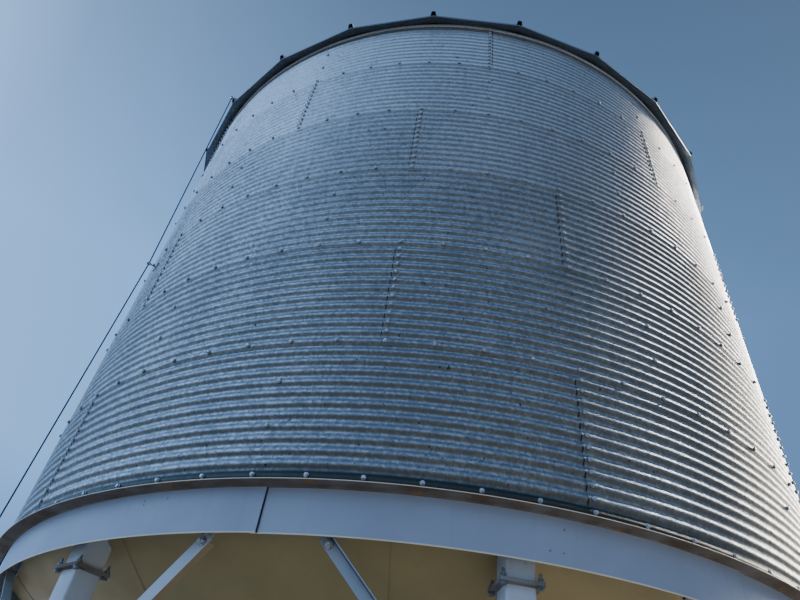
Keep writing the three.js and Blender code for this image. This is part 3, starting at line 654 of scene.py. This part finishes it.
def corrugated_sheet(form, tier, left, right, foot, top, first_crest, pitch, tone):
    """One sheet of a ring, between two azimuths. Its end on the seam's side stands over its neighbour."""
    side = SEAM_SIDES[tier]
    per_degree = math.radians(1) * WALL_RADIUS
    lap = SEAM_LAP / per_degree
    blend = LAP_BLEND / per_degree
    start = left - lap
    end = right + lap
    proud_end = start if side < 0 else end
    edges = [2 * lap, 2 * lap + blend]
    marks = [start + e for e in edges] if side < 0 else [end - e for e in reversed(edges)]
    plain_from = marks[1] if side < 0 else start
    plain_to = end if side < 0 else marks[0]
    azimuths = [plain_from + (plain_to - plain_from) * i / SHEET_STEPS for i in range(SHEET_STEPS + 1)]
    azimuths = [start, marks[0]] + azimuths if side < 0 else azimuths + [marks[1], end]
    row_count = round((top - foot) / pitch * WAVE_STEPS)
    rows = []
    for row in range(row_count + 1):
        z = foot + (top - foot) * row / row_count
        radius = wave_radius(z, first_crest, pitch)
        over_tier = 0.0
        if tier > 0:
            over_tier = TIER_PROUD * min(1.0, max(0.0, 1 - (z - foot - TIER_LAP) / LAP_BLEND))
        points = []
        for azimuth in azimuths:
            away = abs(azimuth - proud_end)
            over_sheet = LAP_PROUD * min(1.0, max(0.0, 1 - (away - 2 * lap) / blend))
            outer = radius + over_tier + over_sheet
            points.append((around(outer, azimuth, z), around(outer - SHEET_THICKNESS, azimuth, z)))
        rows.append(points)
    form.add(*grid_shell(rows), tone=tone)


def seam_bead_and_shadow(form, edge, z, first_crest, pitch):
    """The dark bead along a sheet's end, on the flank below the crest at height z: mastic, and painted
    shadow of the gap under the end.
    """
    half = math.degrees(SEAM_BEAD_WIDTH / 2 / WALL_RADIUS)
    rows = []
    for step in reversed(range(BEAD_STEPS + 1)):
        height = z - pitch * (BEAD_START + BEAD_REACH * step / BEAD_STEPS)
        outer = wave_radius(height, first_crest, pitch) + LAP_PROUD + BEAD_PROUD
        rows.append([
            (around(outer, edge + offset, height), around(outer - BEAD_DEPTH, edge + offset, height))
            for offset in (-half, half)
        ])
    form.add(*grid_shell(rows))


def make_wall():
    """The six rings of corrugated sheets, the dark beads at their ends (mastic and painted shadow), and all
    their bolts as one piece.
    """
    chance = random.Random(7)
    bolts = Form()
    seam_beads = Form()
    lap = math.degrees(SEAM_LAP / WALL_RADIUS)
    crest = WALL_RADIUS + WAVE_HEIGHT
    for tier in range(TIER_COUNT):
        node = f"wall_tier_{tier + 1}"
        low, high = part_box(node)
        pitch = (high.z - low.z) / WAVE_COUNT
        first_crest = low.z + FIRST_BOLT_ABOVE_FOOT
        top = high.z if tier == TIER_COUNT - 1 else high.z + TIER_LAP
        form = Form()
        for sheet in range(SHEETS_PER_RING):
            left = SEAM_AZIMUTHS[tier] + sheet * SHEET_ANGLE
            tone = RING_TONES[tier] + chance.uniform(-SHEET_TONE_SPREAD, SHEET_TONE_SPREAD)
            corrugated_sheet(form, tier, left, left + SHEET_ANGLE, low.z, top, first_crest, pitch, tone)
        make_piece(f"corrugated_ring_{tier + 1}", form, [wall_zinc], [node])
        for bolt in range(BOLTS_PER_RING):
            azimuth = BOLT_AZIMUTH + bolt * BOLT_ANGLE
            add_bolt(bolts, outward(crest + LAP_PROUD, azimuth, first_crest), WALL_BOLT)
        for sheet in range(SHEETS_PER_RING):
            seam = SEAM_AZIMUTHS[tier] + sheet * SHEET_ANGLE
            for wave in range(1, WAVE_COUNT):
                z = first_crest + wave * pitch
                add_bolt(bolts, outward(crest + LAP_PROUD, seam, z), WALL_BOLT)
                edge = seam + SEAM_SIDES[tier] * (lap + chance.uniform(-SEAM_WANDER, SEAM_WANDER))
                # The dark bead is partly mastic and partly painted shadow of the gap under the sheet's end.
                seam_bead_and_shadow(seam_beads, edge, z, first_crest, pitch)
            for wave in PLAIN_BOLT_WAVES:
                place = outward(crest, seam + SHEET_ANGLE / 2, first_crest + wave * pitch)
                add_bolt(bolts, place, WALL_BOLT)
    make_piece("wall_bolts", bolts, [bolt_zinc, seal_and_painted_shadow], sharp=30)
    make_piece("wall_seam_beads_and_shadow", seam_beads, [seal_and_painted_shadow], sharp=60)
    inner = crest - 1 * MM
    outer = inner + TOP_STRIP_THICKNESS
    foot = top - TOP_STRIP_HEIGHT
    strip = form_of(lathe([(inner, foot), (outer, foot), (outer, top), (inner, top)]))
    make_piece("wall_top_strip", strip, [pale_strip])


def make_ledge():
    """The rolled angle under the wall, with rounded edges and the weld that joins it to the skirt."""
    low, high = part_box("base_angle_ring")
    top = low.z + LEDGE_THICKNESS
    upstand_inner = LEDGE_UPSTAND_RADIUS - LEDGE_THICKNESS
    profile = [
        (SKIRT_INNER_RADIUS, low.z),
        (LEDGE_RADIUS - LEDGE_BEVEL, low.z),
        (LEDGE_RADIUS, low.z + LEDGE_BEVEL),
        (LEDGE_RADIUS, top - LEDGE_BEVEL),
        (LEDGE_RADIUS - LEDGE_BEVEL, top),
        (LEDGE_UPSTAND_RADIUS, top),
        (LEDGE_UPSTAND_RADIUS, high.z),
        (upstand_inner, high.z),
        (upstand_inner, top),
        (SKIRT_INNER_RADIUS, top),
    ]
    # The rim's outer face and upper bevel carry the painted highlight.
    highlight_faces = (2, 3)
    form = form_of(lathe(profile))
    form.paints = [int(i % len(profile) in highlight_faces) for i in range(len(form.faces))]
    make_piece("ledge_angle", form, [ledge_rust, edge_highlight], ["base_angle_ring"])
    face = SKIRT_INNER_RADIUS + SKIRT_THICKNESS
    bead = form_of(lathe([
        (face, low.z - LEDGE_WELD),
        (face + SKIRT_LAP, low.z - LEDGE_WELD),
        (face + SKIRT_LAP + LEDGE_WELD, low.z),
        (face, low.z),
    ]))
    make_piece("skirt_weld_bead", bead, [ledge_rust])


def make_skirt():
    """Eight skirt plates, each with its far end standing over the next, with their seams and plugs."""
    low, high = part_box("skirt_band")
    face = SKIRT_INNER_RADIUS + SKIRT_THICKNESS
    steps = ROUND_STEPS // BAY_COUNT
    lap = math.degrees(SKIRT_LAP_WIDTH / SKIRT_INNER_RADIUS)
    form = Form()
    for bay in range(BAY_COUNT):
        start = FIRST_SKIRT_SEAM + bay * BAY_ANGLE - lap
        rows = []
        for z, inset in ((low.z, SKIRT_EDGE_INSET), (low.z + SKIRT_EDGE, 0.0), (high.z, 0.0)):
            points = []
            for step in range(steps + 1):
                share = step / steps
                azimuth = start + (BAY_ANGLE + lap) * share
                inner = SKIRT_INNER_RADIUS + SKIRT_LAP * share
                outer = inner + SKIRT_THICKNESS - inset
                points.append((around(outer, azimuth, z), around(inner, azimuth, z)))
            rows.append(points)
        # The strip along each plate's bottom edge carries the painted highlight.
        form.add(*grid_shell(rows[:2]), paint=1)
        form.add(*grid_shell(rows[1:]))
    make_piece("skirt_plates", form, [skirt_enamel, edge_highlight], ["skirt_band"])
    skirt_seam_strips = Form()
    # A dark strip beside each seam stands for mastic and is also painted shadow beside the lapped plate's
    # end.
    strip = rounded_rectangle((0, low.z + 2 * MM), (SKIRT_SEAM_WIDTH, high.z), 1 * MM)
    for bay in range(BAY_COUNT):
        seam = outward(face, FIRST_SKIRT_SEAM + bay * BAY_ANGLE, 0)
        skirt_seam_strips.add(*prism(strip, -1 * MM, 0.7 * SKIRT_LAP), seam)
    make_piece("skirt_seam_shadow_strips", skirt_seam_strips, [seal_and_painted_shadow])
    plugs = Form()
    plug = turned_stack(((PLUG_RADIUS, -1 * MM), (PLUG_RADIUS, 0.8 * MM), (2.5 * MM, 1.6 * MM)), PLUG_SIDES)
    for azimuth, drop in SKIRT_PLUGS:
        share = ((azimuth - FIRST_SKIRT_SEAM) / BAY_ANGLE) % 1
        plugs.add(*plug, outward(face + SKIRT_LAP * share, azimuth, high.z - drop * MM))
    make_piece("skirt_plugs", plugs, [fitting_zinc])


def cone_under(radius, rim):
    """The height of the hopper's underside at a radius, from its rim's (radius, height)."""
    return rim[1] - (rim[0] - radius) * CONE_SLOPE


def cone_rim():
    """The radius and the height of the hopper's underside at its rim."""
    return SKIRT_INNER_RADIUS - GAP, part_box("hopper_cone")[1].z - CONE_RISE


def make_hopper():
    """The twelve plates of the hopper's cone, each lapped over the next, with a weld along each seam."""
    rim = cone_rim()
    plate_angle = 360 / CONE_PLATES
    half_length, half_width = CONE_BEAD
    outline = rounded_rectangle((-half_length, -half_width), CONE_BEAD, CONE_BEAD_CORNER, steps=2)
    bead = prism(outline, -CONE_BEAD_HEIGHT, CONE_BEAD_HEIGHT)
    form = Form()
    welds = Form()
    for plate in range(CONE_PLATES):
        start = CONE_SEAM + plate * plate_angle - CONE_LAP_ANGLE
        rows = []
        for radius in (OUTLET_RADIUS, *CONE_RADII, rim[0]):
            points = []
            for step in range(CONE_STEPS + 1):
                azimuth = start + (plate_angle + CONE_LAP_ANGLE) * step / CONE_STEPS
                under = cone_under(radius, rim) - CONE_LAP * step / CONE_STEPS
                points.append((around(radius, azimuth, under), around(radius, azimuth, under + CONE_RISE)))
            rows.append(points)
        form.add(*grid_shell(rows))
        edge = start + CONE_LAP_ANGLE + 0.12
        for step in range(CONE_BEADS):
            radius = OUTLET_RADIUS + (rim[0] - 20 * MM - OUTLET_RADIUS) * (step + 0.5) / CONE_BEADS
            spot = around(radius, edge, cone_under(radius, rim) - 1 * MM)
            welds.add(*bead, standing(spot, around(1, edge, CONE_SLOPE), around(1, edge + 90, 0)))
    make_piece("hopper_plates", form, [hopper_enamel], ["hopper_cone"])
    make_piece("hopper_seam_welds", welds, [hopper_enamel])


def brace_plane(side):
    """The upright plane of a knee brace, seen from its leg at azimuth 0. side is 1 right, -1 left."""
    foot = Vector((side * BRACE_FOOT[0], -BRACE_FOOT[1], BRACE_FOOT[2]))
    top = around(BRACE_TOP[0], side * BRACE_TOP[1], BRACE_TOP[2])
    along = top - foot
    level = Vector((along.x, along.y, 0)).normalized()
    out = level.cross(UP) * side
    return foot, top, along, level, out


def plate_outline(width, front, depth, corner):
    """A round-cornered rectangle across a leg's middle line, from its front side inwards."""
    return rounded_rectangle((-width / 2, front), (width / 2, front + depth), corner)


def leg_outline(grown=0.0, corner=LEG_CORNER):
    """A leg's section, or a larger one round it."""
    return plate_outline(LEG_WIDTH + 2 * grown, -LEG_FACE - grown, LEG_DEPTH + 2 * grown, corner)


def flange_shape(bottom):
    """One of the two plates between a leg and its stub."""
    outline = plate_outline(FLANGE_WIDTH, -LEG_FACE - FLANGE_FRONT, FLANGE_DEPTH, FLANGE_CORNER)
    return prism(outline, bottom, bottom + FLANGE_THICKNESS)


def leg_form(joint_z):
    """A rounded box-section leg with its gussets, and its plates and welds in a second material."""
    form = Form()
    form.add(*prism(leg_outline(), 1 * MM, joint_z - 1 * MM))
    foot_plate = plate_outline(FOOT_WIDTH, LEG_MIDDLE - FOOT_DEPTH / 2, FOOT_DEPTH, FOOT_CORNER)
    form.add(*prism(foot_plate, 0, FOOT_THICKNESS), paint=1)
    form.add(*flange_shape(joint_z - FLANGE_THICKNESS), paint=1)
    weld = leg_outline(LEG_WELD, LEG_CORNER + 3 * MM)
    for z in (FOOT_THICKNESS, joint_z - FLANGE_THICKNESS - LEG_WELD_HEIGHT):
        form.add(*prism(weld, z, z + LEG_WELD_HEIGHT), paint=1)
    for side in (1, -1):
        foot, _, _, level, out = brace_plane(side)
        place = standing(foot - out * (GAP + BRACE_PLATE), level, UP)
        reach = (0, BRACE_PLATE) if side > 0 else (-BRACE_PLATE, 0)
        form.add(*prism(rounded_rectangle(*GUSSET, GUSSET_CORNER), *reach), place)
    return form


def stub_form(joint_z, rim):
    """The stub over a leg: its flange, and a rounded box post cut to the cone's slope."""
    form = Form()
    foot = joint_z + GAP
    outline = leg_outline()
    vertices, faces = prism(outline, foot + 1 * MM, foot)
    tops = [(x, y, cone_under(math.hypot(x, y), rim) - CONE_LAP - 1 * MM) for x, y in outline]
    form.add(vertices[:len(outline)] + tops, faces)
    form.add(*flange_shape(foot), paint=1)
    return form


def brace_form(side, rim):
    """A knee brace with rounded toes, and the cut-off tab between its top end and the cone."""
    foot, top, along, level, out = brace_plane(side)
    length = along.length
    width, reach = BRACE_RIGHT if side > 0 else BRACE_LEFT
    half = width / 2
    form = Form()
    place = standing(foot, along, out.cross(along.normalized()))
    face = rounded_rectangle((-BRACE_FOOT_END, -half), (length + BRACE_TOP_END, half), 5 * MM)
    form.add(*prism(face, 0, BRACE_THICKNESS), place)
    if side > 0:
        flange = rounded_rectangle(
            (BRACE_FLANGE_START, BRACE_THICKNESS - reach),
            (length + BRACE_FLANGE_END, 2 * MM),
            4 * MM,
        )
    else:
        flange = rounded_rectangle(
            (-BRACE_FOOT_END, BRACE_THICKNESS - 2 * MM),
            (length + BRACE_TOP_END, reach),
            4 * MM,
        )
    flange_place = place @ Matrix.Translation((0, -half, 0)) @ Matrix.Rotation(math.pi / 2, 4, "X")
    form.add(*prism(flange, -BRACE_THICKNESS, 0), flange_place)
    tab_place = standing(top, level, UP)
    outline = [(x * MM, y * MM) for x, y in TAB_FOOT]
    left, right = TAB_LEFT, outline[-1][0]
    for share in (0, 0.25, 0.5, 0.75, 1):
        x = right + (left - right) * share
        point = top + level * x
        outline.append((x, cone_under(math.hypot(point.x, point.y), rim) - top.z - CONE_LAP - 3 * MM))
    low, high = sorted((side * 1 * MM, -side * BRACE_PLATE))
    form.add(*prism(outline, low, high), tab_place)
    return form


def bay_bolts(joint_z):
    """The bolts of one bay: through the flanges, at the braces' ends and on the foot plate."""
    form = Form()
    down = Matrix.Rotation(math.pi, 4, "X")
    front = -LEG_FACE - FLANGE_FRONT
    for x in (FLANGE_BOLT_INSET - FLANGE_WIDTH / 2, FLANGE_WIDTH / 2 - FLANGE_BOLT_INSET):
        for y in (front + FLANGE_BOLT_INSET, front + FLANGE_DEPTH - FLANGE_BOLT_INSET):
            top = Matrix.Translation((x, y, joint_z + GAP + FLANGE_THICKNESS))
            bottom = Matrix.Translation((x, y, joint_z - FLANGE_THICKNESS)) @ down
            add_bolt(form, top, FLANGE_BOLT, shank=20 * MM, steel=2)
            add_bolt(form, bottom, FLANGE_BOLT, steel=2)
    for side in (1, -1):
        foot, top, _, level, out = brace_plane(side)
        for point in (foot, top):
            place = standing(point + out * BRACE_THICKNESS, level * side, UP)
            add_bolt(form, place, BRACE_BOLT, shank=9 * MM)
        spot = top + level * TAB_HOLE[0] + UP * TAB_HOLE[1]
        hole = standing(spot, level * side, UP)
        # A black disc stands for the empty hole in the tab: painted shade.
        form.add(*prism(circle(7 * MM, 14), -1 * MM, 1.4 * MM), hole, paint=1)
    half_width = FOOT_WIDTH / 2 - FOOT_BOLT_INSET
    half_depth = FOOT_DEPTH / 2 - FOOT_BOLT_INSET
    for x in (-half_width, half_width):
        for y in (LEG_MIDDLE - half_depth, LEG_MIDDLE + half_depth):
            add_bolt(form, Matrix.Translation((x, y, FOOT_THICKNESS)), FOOT_BOLT, shank=22 * MM)
    return form


def make_legs():
    """Eight legs with their stubs, their two knee braces each, and their bolts."""
    rim = cone_rim()
    joint_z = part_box("leg_1")[1].z
    leg = leg_form(joint_z)
    stub = stub_form(joint_z, rim)
    braces = (
        ("left", brace_form(-1, rim), left_brace_painted_shade),
        ("right", brace_form(1, rim), right_brace_enamel),
    )
    bolts = bay_bolts(joint_z)
    all_bolts = Form()
    for bay in range(BAY_COUNT):
        turn = turned_to(FIRST_LEG + bay * BAY_ANGLE)
        number = bay + 1
        pieces = [
            (f"box_leg_{number}", leg, [leg_enamel, flange_rust], "leg_paint", f"leg_{number}"),
            (f"box_stub_{number}", stub, [leg_enamel, flange_rust], "hopper_paint", f"leg_stub_{number}"),
        ]
        for side, form, finish in braces:
            name = f"angle_brace_{number}_{side}"
            pieces.append((name, form, [finish], "leg_paint", f"knee_brace_{number}_{side}"))
        for name, form, materials, slot, node in pieces:
            make_piece(name, form.turned(turn), materials, [node], bevel=WORN_EDGE)
        all_bolts.include(bolts, turn)
    make_piece("leg_bolts", all_bolts, [bolt_zinc, seal_and_painted_shadow, fitting_zinc], sharp=30)


def make_roof():
    """The roof's panels with their lips, the hat-shaped ribs over their joints, and the rib bolts."""
    wall_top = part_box(f"wall_tier_{TIER_COUNT}")[1].z
    wall_outer = WALL_RADIUS + WAVE_HEIGHT
    corner = 1 / math.cos(math.pi / ROOF_SIDES)
    rise = ROOF_THICKNESS * math.hypot(1, ROOF_SLOPE)

    def under(apothem):
        return wall_top + GAP + (wall_outer - apothem) * ROOF_SLOPE

    panels = Form()
    half = 180 / ROOF_SIDES
    lip_under = under(EAVE_APOTHEM)
    for side in range(ROOF_SIDES):
        middle = ROOF_PHASE + half + side * 2 * half
        ends = (middle - half, middle + half)
        rows = []
        for apothem in (EAVE_APOTHEM, PEAK_APOTHEM):
            z = under(apothem)
            radius = apothem * corner
            rows.append([(around(radius, e, z + rise), around(radius, e, z)) for e in ends])
        panels.add(*grid_shell(rows))
        outer = EAVE_APOTHEM * corner
        inner = (EAVE_APOTHEM - EAVE_LIP_SHEET) * corner
        rows = []
        for z in (lip_under - EAVE_LIP, lip_under + 2 * MM):
            rows.append([(around(outer, e, z), around(inner, e, z)) for e in ends])
        panels.add(*grid_shell(rows))
    make_piece("roof_panels", panels, [roof_zinc], ["roof"], sharp=5)

    slope = math.atan(ROOF_SLOPE / corner)
    out = Vector((0, -math.cos(slope), -math.sin(slope)))
    normal = Vector((0, -math.sin(slope), math.cos(slope)))
    seat = under(RIB_OUTER / corner) + rise / 2
    length = (RIB_OUTER - RIB_INNER) / math.cos(slope)
    base = RIB_BASE / 2
    tip = RIB_TOP / 2
    hat = [
        (-base, 0), (-base + RIB_SHEET, 0), (RIB_SHEET - tip, RIB_HEIGHT - RIB_SHEET),
        (tip - RIB_SHEET, RIB_HEIGHT - RIB_SHEET), (base - RIB_SHEET, 0), (base, 0),
        (tip, RIB_HEIGHT), (-tip, RIB_HEIGHT),
    ]
    # x runs across the rib and y away from the roof, so z runs down the slope from the rib's upper end.
    across = normal.cross(out)
    foot = Vector((0, -RIB_OUTER, seat)) + normal * (rise / 2 * math.cos(slope)) - out * length
    rib = Form()
    rib.add(*prism(hat, 0, length), standing(foot, across, normal))
    for side in (1, -1):
        low_x, high_x = sorted((side * (base - RIB_SHEET), side * (base + RIB_FLANGE)))
        flange = rounded_rectangle((low_x, 0), (high_x, RIB_SHEET), 0.4 * MM, 1)
        rib.add(*prism(flange, 0, length - RIB_FLANGE_SHORT), standing(foot, across, normal))
    screws = Form()
    for step in range(RIB_SCREWS):
        along = length * (step + 0.4) / RIB_SCREWS
        for x in (-base - RIB_FLANGE / 2, base + RIB_FLANGE / 2):
            spot = foot + out * along + across * x + normal * RIB_SHEET
            add_bolt(screws, standing(spot, across, -out), ROOF_SCREW)
    ribs = Form()
    rib_screws = Form()
    for side in range(ROOF_SIDES):
        turn = turned_to(ROOF_PHASE + side * 360 / ROOF_SIDES)
        for whole, part in ((ribs, rib), (rib_screws, screws)):
            whole.include(part, turn)
    make_piece("roof_ribs", ribs, [roof_zinc], sharp=20)
    make_piece("roof_screws", rib_screws, [bolt_zinc, seal_and_painted_shadow], sharp=30)


def make_top_piece(name, node, profile, *caps):
    """A turned sheet piece on top of the roof, which stands for a CAD node."""
    make_piece(name, form_of(lathe(profile, TOP_STEPS), *caps), [roof_zinc], [node])


def make_roof_top():
    """The filling hole's collar with the ring round it, and the lid with the rolled band under its rim."""
    low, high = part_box("peak_collar")
    make_top_piece("filling_collar", "peak_collar", [
        (COLLAR_RADIUS - COLLAR_SHEET, low.z),
        (COLLAR_RADIUS, low.z),
        (COLLAR_RADIUS, high.z - 2 * MM),
        (COLLAR_RADIUS - 1.5 * MM, high.z),
        (COLLAR_RADIUS - COLLAR_SHEET, high.z),
    ])
    low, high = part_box("peak_ring")
    inner = COLLAR_RADIUS + GAP
    make_top_piece("collar_ring", "peak_ring", [
        (inner, high.z - COLLAR_SHEET),
        (PEAK_RING_RADIUS, low.z),
        (PEAK_RING_RADIUS, low.z + COLLAR_SHEET),
        (inner + 6 * MM, high.z),
        (inner, high.z + 5 * MM),
    ])
    low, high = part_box("roof_lid")
    cap = ((LID_CAP_RADIUS, high.z - LID_SHEET - 1 * MM), (LID_CAP_RADIUS, high.z))
    make_top_piece("tipping_lid", "roof_lid", [
        (6 * MM, high.z - LID_SHEET),
        (LID_RADIUS, low.z),
        (LID_RADIUS, low.z + LID_SHEET),
        (6 * MM, high.z),
    ], turned_stack(cap, 12))
    low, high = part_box("lid_band")
    make_top_piece("lid_rim_band", "lid_band", [
        (LID_RADIUS - LID_SHEET, low.z),
        (LID_RADIUS, low.z),
        (LID_RADIUS + 2 * MM, low.z + 3 * MM),
        (LID_RADIUS, low.z + 6 * MM),
        (LID_RADIUS, high.z - 1 * MM),
        (LID_RADIUS - LID_SHEET, high.z),
    ])


def rope_route():
    """Points along the rope, close together, with its bends in the guide rings rounded."""
    corners = [around(*corner) for corner in ROPE_CORNERS]
    route = [corners[0]]
    for before, corner, after in zip(corners, corners[1:], corners[2:]):
        start = corner + (before - corner).normalized() * ROPE_BEND
        end = corner + (after - corner).normalized() * ROPE_BEND
        for step in range(ROPE_BEND_STEPS):
            share = step / (ROPE_BEND_STEPS - 1)
            route.append(start.lerp(corner, share).lerp(corner.lerp(end, share), share))
    route.append(corners[-1])
    return route


def make_rope():
    """The opener rope: three strands laid round each other along the taut route."""
    route = rope_route()
    spacing = ROPE_LAY / STRAND_STEPS
    centres = []
    for here, there in zip(route, route[1:]):
        count = max(1, round((there - here).length / spacing))
        centres += [here.lerp(there, step / count) for step in range(count)]
    centres.append(route[-1])
    lay_radius = 0.5 * ROPE_DIAMETER - STRAND_RADIUS
    form = Form()
    for strand in range(ROPE_STRANDS):
        travelled = 0.0
        vertices = []
        for i, centre in enumerate(centres):
            along = (centres[min(i + 1, len(centres) - 1)] - centres[max(i - 1, 0)]).normalized()
            across = along.cross(Vector((1, 0, 0))).normalized()
            other = along.cross(across)
            if i:
                travelled += (centre - centres[i - 1]).length
            turn = 2 * math.pi * (travelled / ROPE_LAY + strand / ROPE_STRANDS)
            middle = centre + (across * math.cos(turn) + other * math.sin(turn)) * lay_radius
            for side in range(STRAND_SIDES):
                angle = 2 * math.pi * side / STRAND_SIDES + turn
                offset = across * math.cos(angle) + other * math.sin(angle)
                vertices.append(middle + offset * STRAND_RADIUS)
        last = (len(centres) - 1) * STRAND_SIDES
        ends = range(STRAND_SIDES)
        faces = [tuple(ends), tuple(last + side for side in reversed(ends))]
        for ring in range(0, last, STRAND_SIDES):
            for side in ends:
                here = ring + side
                beside = ring + (side + 1) % STRAND_SIDES
                faces.append((here, here + STRAND_SIDES, beside + STRAND_SIDES, beside))
        form.add(vertices, faces)
    make_piece("twisted_opener_rope", form, [rope_fibre], ["opener_rope"], sharp=60)


def set_finish(node, material):
    """Gives a CAD node that keeps its shape its real finish."""
    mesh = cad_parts[node].data
    mesh.materials.clear()
    mesh.materials.append(material)


def finish_plain_nodes():
    """The fittings whose CAD shape is right, each in its real material."""
    set_finish("outlet_neck", hopper_enamel)
    set_finish("slide_gate_frame", gate_enamel)
    set_finish("slide_gate_blade", roof_zinc)
    for node in ("lid_lever", "eave_guide", "wall_guide", "skirt_guide", "rope_cleat"):
        set_finish(node, fitting_zinc)


def make_gate_bolts():
    """The ring of bolts through the neck's flange into the gate."""
    flange_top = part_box("outlet_neck")[0].z + NECK_FLANGE_THICKNESS
    form = Form()
    for bolt in range(GATE_BOLTS):
        spot = around(GATE_BOLT_CIRCLE, FIRST_GATE_BOLT + bolt * 360 / GATE_BOLTS, flange_top)
        add_bolt(form, Matrix.Translation(spot), GATE_BOLT)
    make_piece("gate_bolts", form, [bolt_zinc, seal_and_painted_shadow], sharp=30)


def make_camera():
    """The camera at the photograph's place, direction, roll and framing."""
    forward = Vector((
        math.sin(EYE_YAW) * math.cos(EYE_PITCH),
        math.cos(EYE_YAW) * math.cos(EYE_PITCH),
        math.sin(EYE_PITCH),
    ))
    level_right = Vector((math.cos(EYE_YAW), -math.sin(EYE_YAW), 0))
    level_up = level_right.cross(forward)
    right = level_right * math.cos(EYE_ROLL) + level_up * math.sin(EYE_ROLL)
    up = level_up * math.cos(EYE_ROLL) - level_right * math.sin(EYE_ROLL)
    data = bpy.data.cameras.new("camera")
    data.sensor_width = SENSOR_WIDTH
    data.lens = FOCAL_PIXELS / FRAME_WIDTH * SENSOR_WIDTH
    data.shift_x = (FRAME_WIDTH / 2 - OPTICAL_CENTRE[0]) / FRAME_WIDTH
    data.shift_y = (OPTICAL_CENTRE[1] - FRAME_HEIGHT / 2) / FRAME_WIDTH
    data.clip_end = 200
    camera = bpy.data.objects.new("camera", data)
    camera.matrix_world = standing(EYE, right, up)
    bpy.context.scene.collection.objects.link(camera)
    bpy.context.scene.camera = camera


def make_floor():
    """A plain pale floor, wide enough to meet the backdrop's colour."""
    vertices, faces = prism(circle(FLOOR_RADIUS, 64), -50 * MM, 0)
    mesh = bpy.data.meshes.new("floor")
    mesh.from_pydata(vertices, [], faces)
    mesh.materials.append(studio_floor())
    floor = bpy.data.objects.new("floor", mesh)
    bpy.context.scene.collection.objects.link(floor)


def make_world():
    """A soft studio dome: brightest from the left, and dimmest low in front and to the right."""
    world = bpy.data.worlds.new("studio")
    bpy.context.scene.world = world
    world.use_nodes = True
    tree = world.node_tree
    tree.nodes.clear()
    direction = add_node(tree, "TexCoord", None, "Generated")
    x, y, z = add_node(tree, "SeparateXYZ", {0: direction}).node.outputs
    dome = 1.0
    for axis, low, high, start, end in (
        (z, 0.04, 0.36, 0.22, 1.25),
        (z, 0.6, 0.95, 1.0, 0.35),
        (x, -0.6, 0.6, 1.3, 0.5),
    ):
        part = add_node(tree, "MapRange", {0: axis, 1: low, 2: high, 3: start, 4: end})
        dome = add_node(tree, "Math", {"operation": "MULTIPLY", 0: part, 1: dome})
    left = add_node(tree, "MapRange", {0: x, 1: -0.3, 2: -0.8, 3: 0.0, 4: 2.6})
    strength = add_node(tree, "Math", {"operation": "MAXIMUM", 0: dome, 1: left})
    behind = add_node(tree, "MapRange", {0: y, 1: 0.1, 2: 0.6})
    colour = layered(tree, "#93b8ea", [(behind, "#7ba8e2")])
    background = add_node(tree, "Background", {"Color": colour, "Strength": strength})
    add_node(tree, "OutputWorld", {"Surface": background})


def add_light(name, kind, place, target, energy, size, colour, flagged=False):
    """A soft lamp at a place, pointing at a target. A flagged one leaves the floor unlit.

    A sun's size is its angle in degrees, and a panel's is its width and height.
    """
    data = bpy.data.lights.new(name, kind)
    data.energy = energy
    data.color = linear(colour)[:3]
    if kind == "SUN":
        data.angle = math.radians(size)
    else:
        data.shape = "RECTANGLE"
        data.size, data.size_y = size
    lamp = bpy.data.objects.new(name, data)
    lamp.location = place
    lamp.rotation_euler = (Vector(target) - Vector(place)).to_track_quat("-Z", "Y").to_euler()
    lamp.visible_camera = False
    bpy.context.scene.collection.objects.link(lamp)
    if flagged:
        kept_dark = bpy.data.collections.new(f"{name}_flag")
        kept_dark.objects.link(bpy.data.objects["floor"])
        kept_dark.collection_objects[0].light_linking.link_state = "EXCLUDE"
        lamp.light_linking.receiver_collection = kept_dark


def make_lights():
    """A warm key light from the right and behind, with two soft panels on that side.

    The low panel makes the broad glare on the right flank. The high one draws a thin white line along the
    upward flank of each corrugation. Both, and most of the key, are flagged off the floor, so that it
    throws no glare at the hopper.
    """
    middle = (0, 0, 4)
    add_light("key", "SUN", around(20, 143, 23), middle, 5, 1.5, "#fff4e2")
    add_light("flagged_key", "SUN", around(20, 143, 23), middle, 7, 1.5, "#fff4e2", flagged=True)
    add_light("low_panel", "AREA", around(16, 124, 11), middle, 21000, (14, 12), "#fff4e4", flagged=True)
    add_light("high_panel", "AREA", around(14, 108, 20), middle, 8500, (12, 3.5), "#fff3e0", flagged=True)


make_camera()
make_world()
make_floor()
make_lights()
make_wall()
make_ledge()
make_skirt()
make_hopper()
make_legs()
make_roof()
make_roof_top()
make_rope()
make_gate_bolts()
finish_plain_nodes()
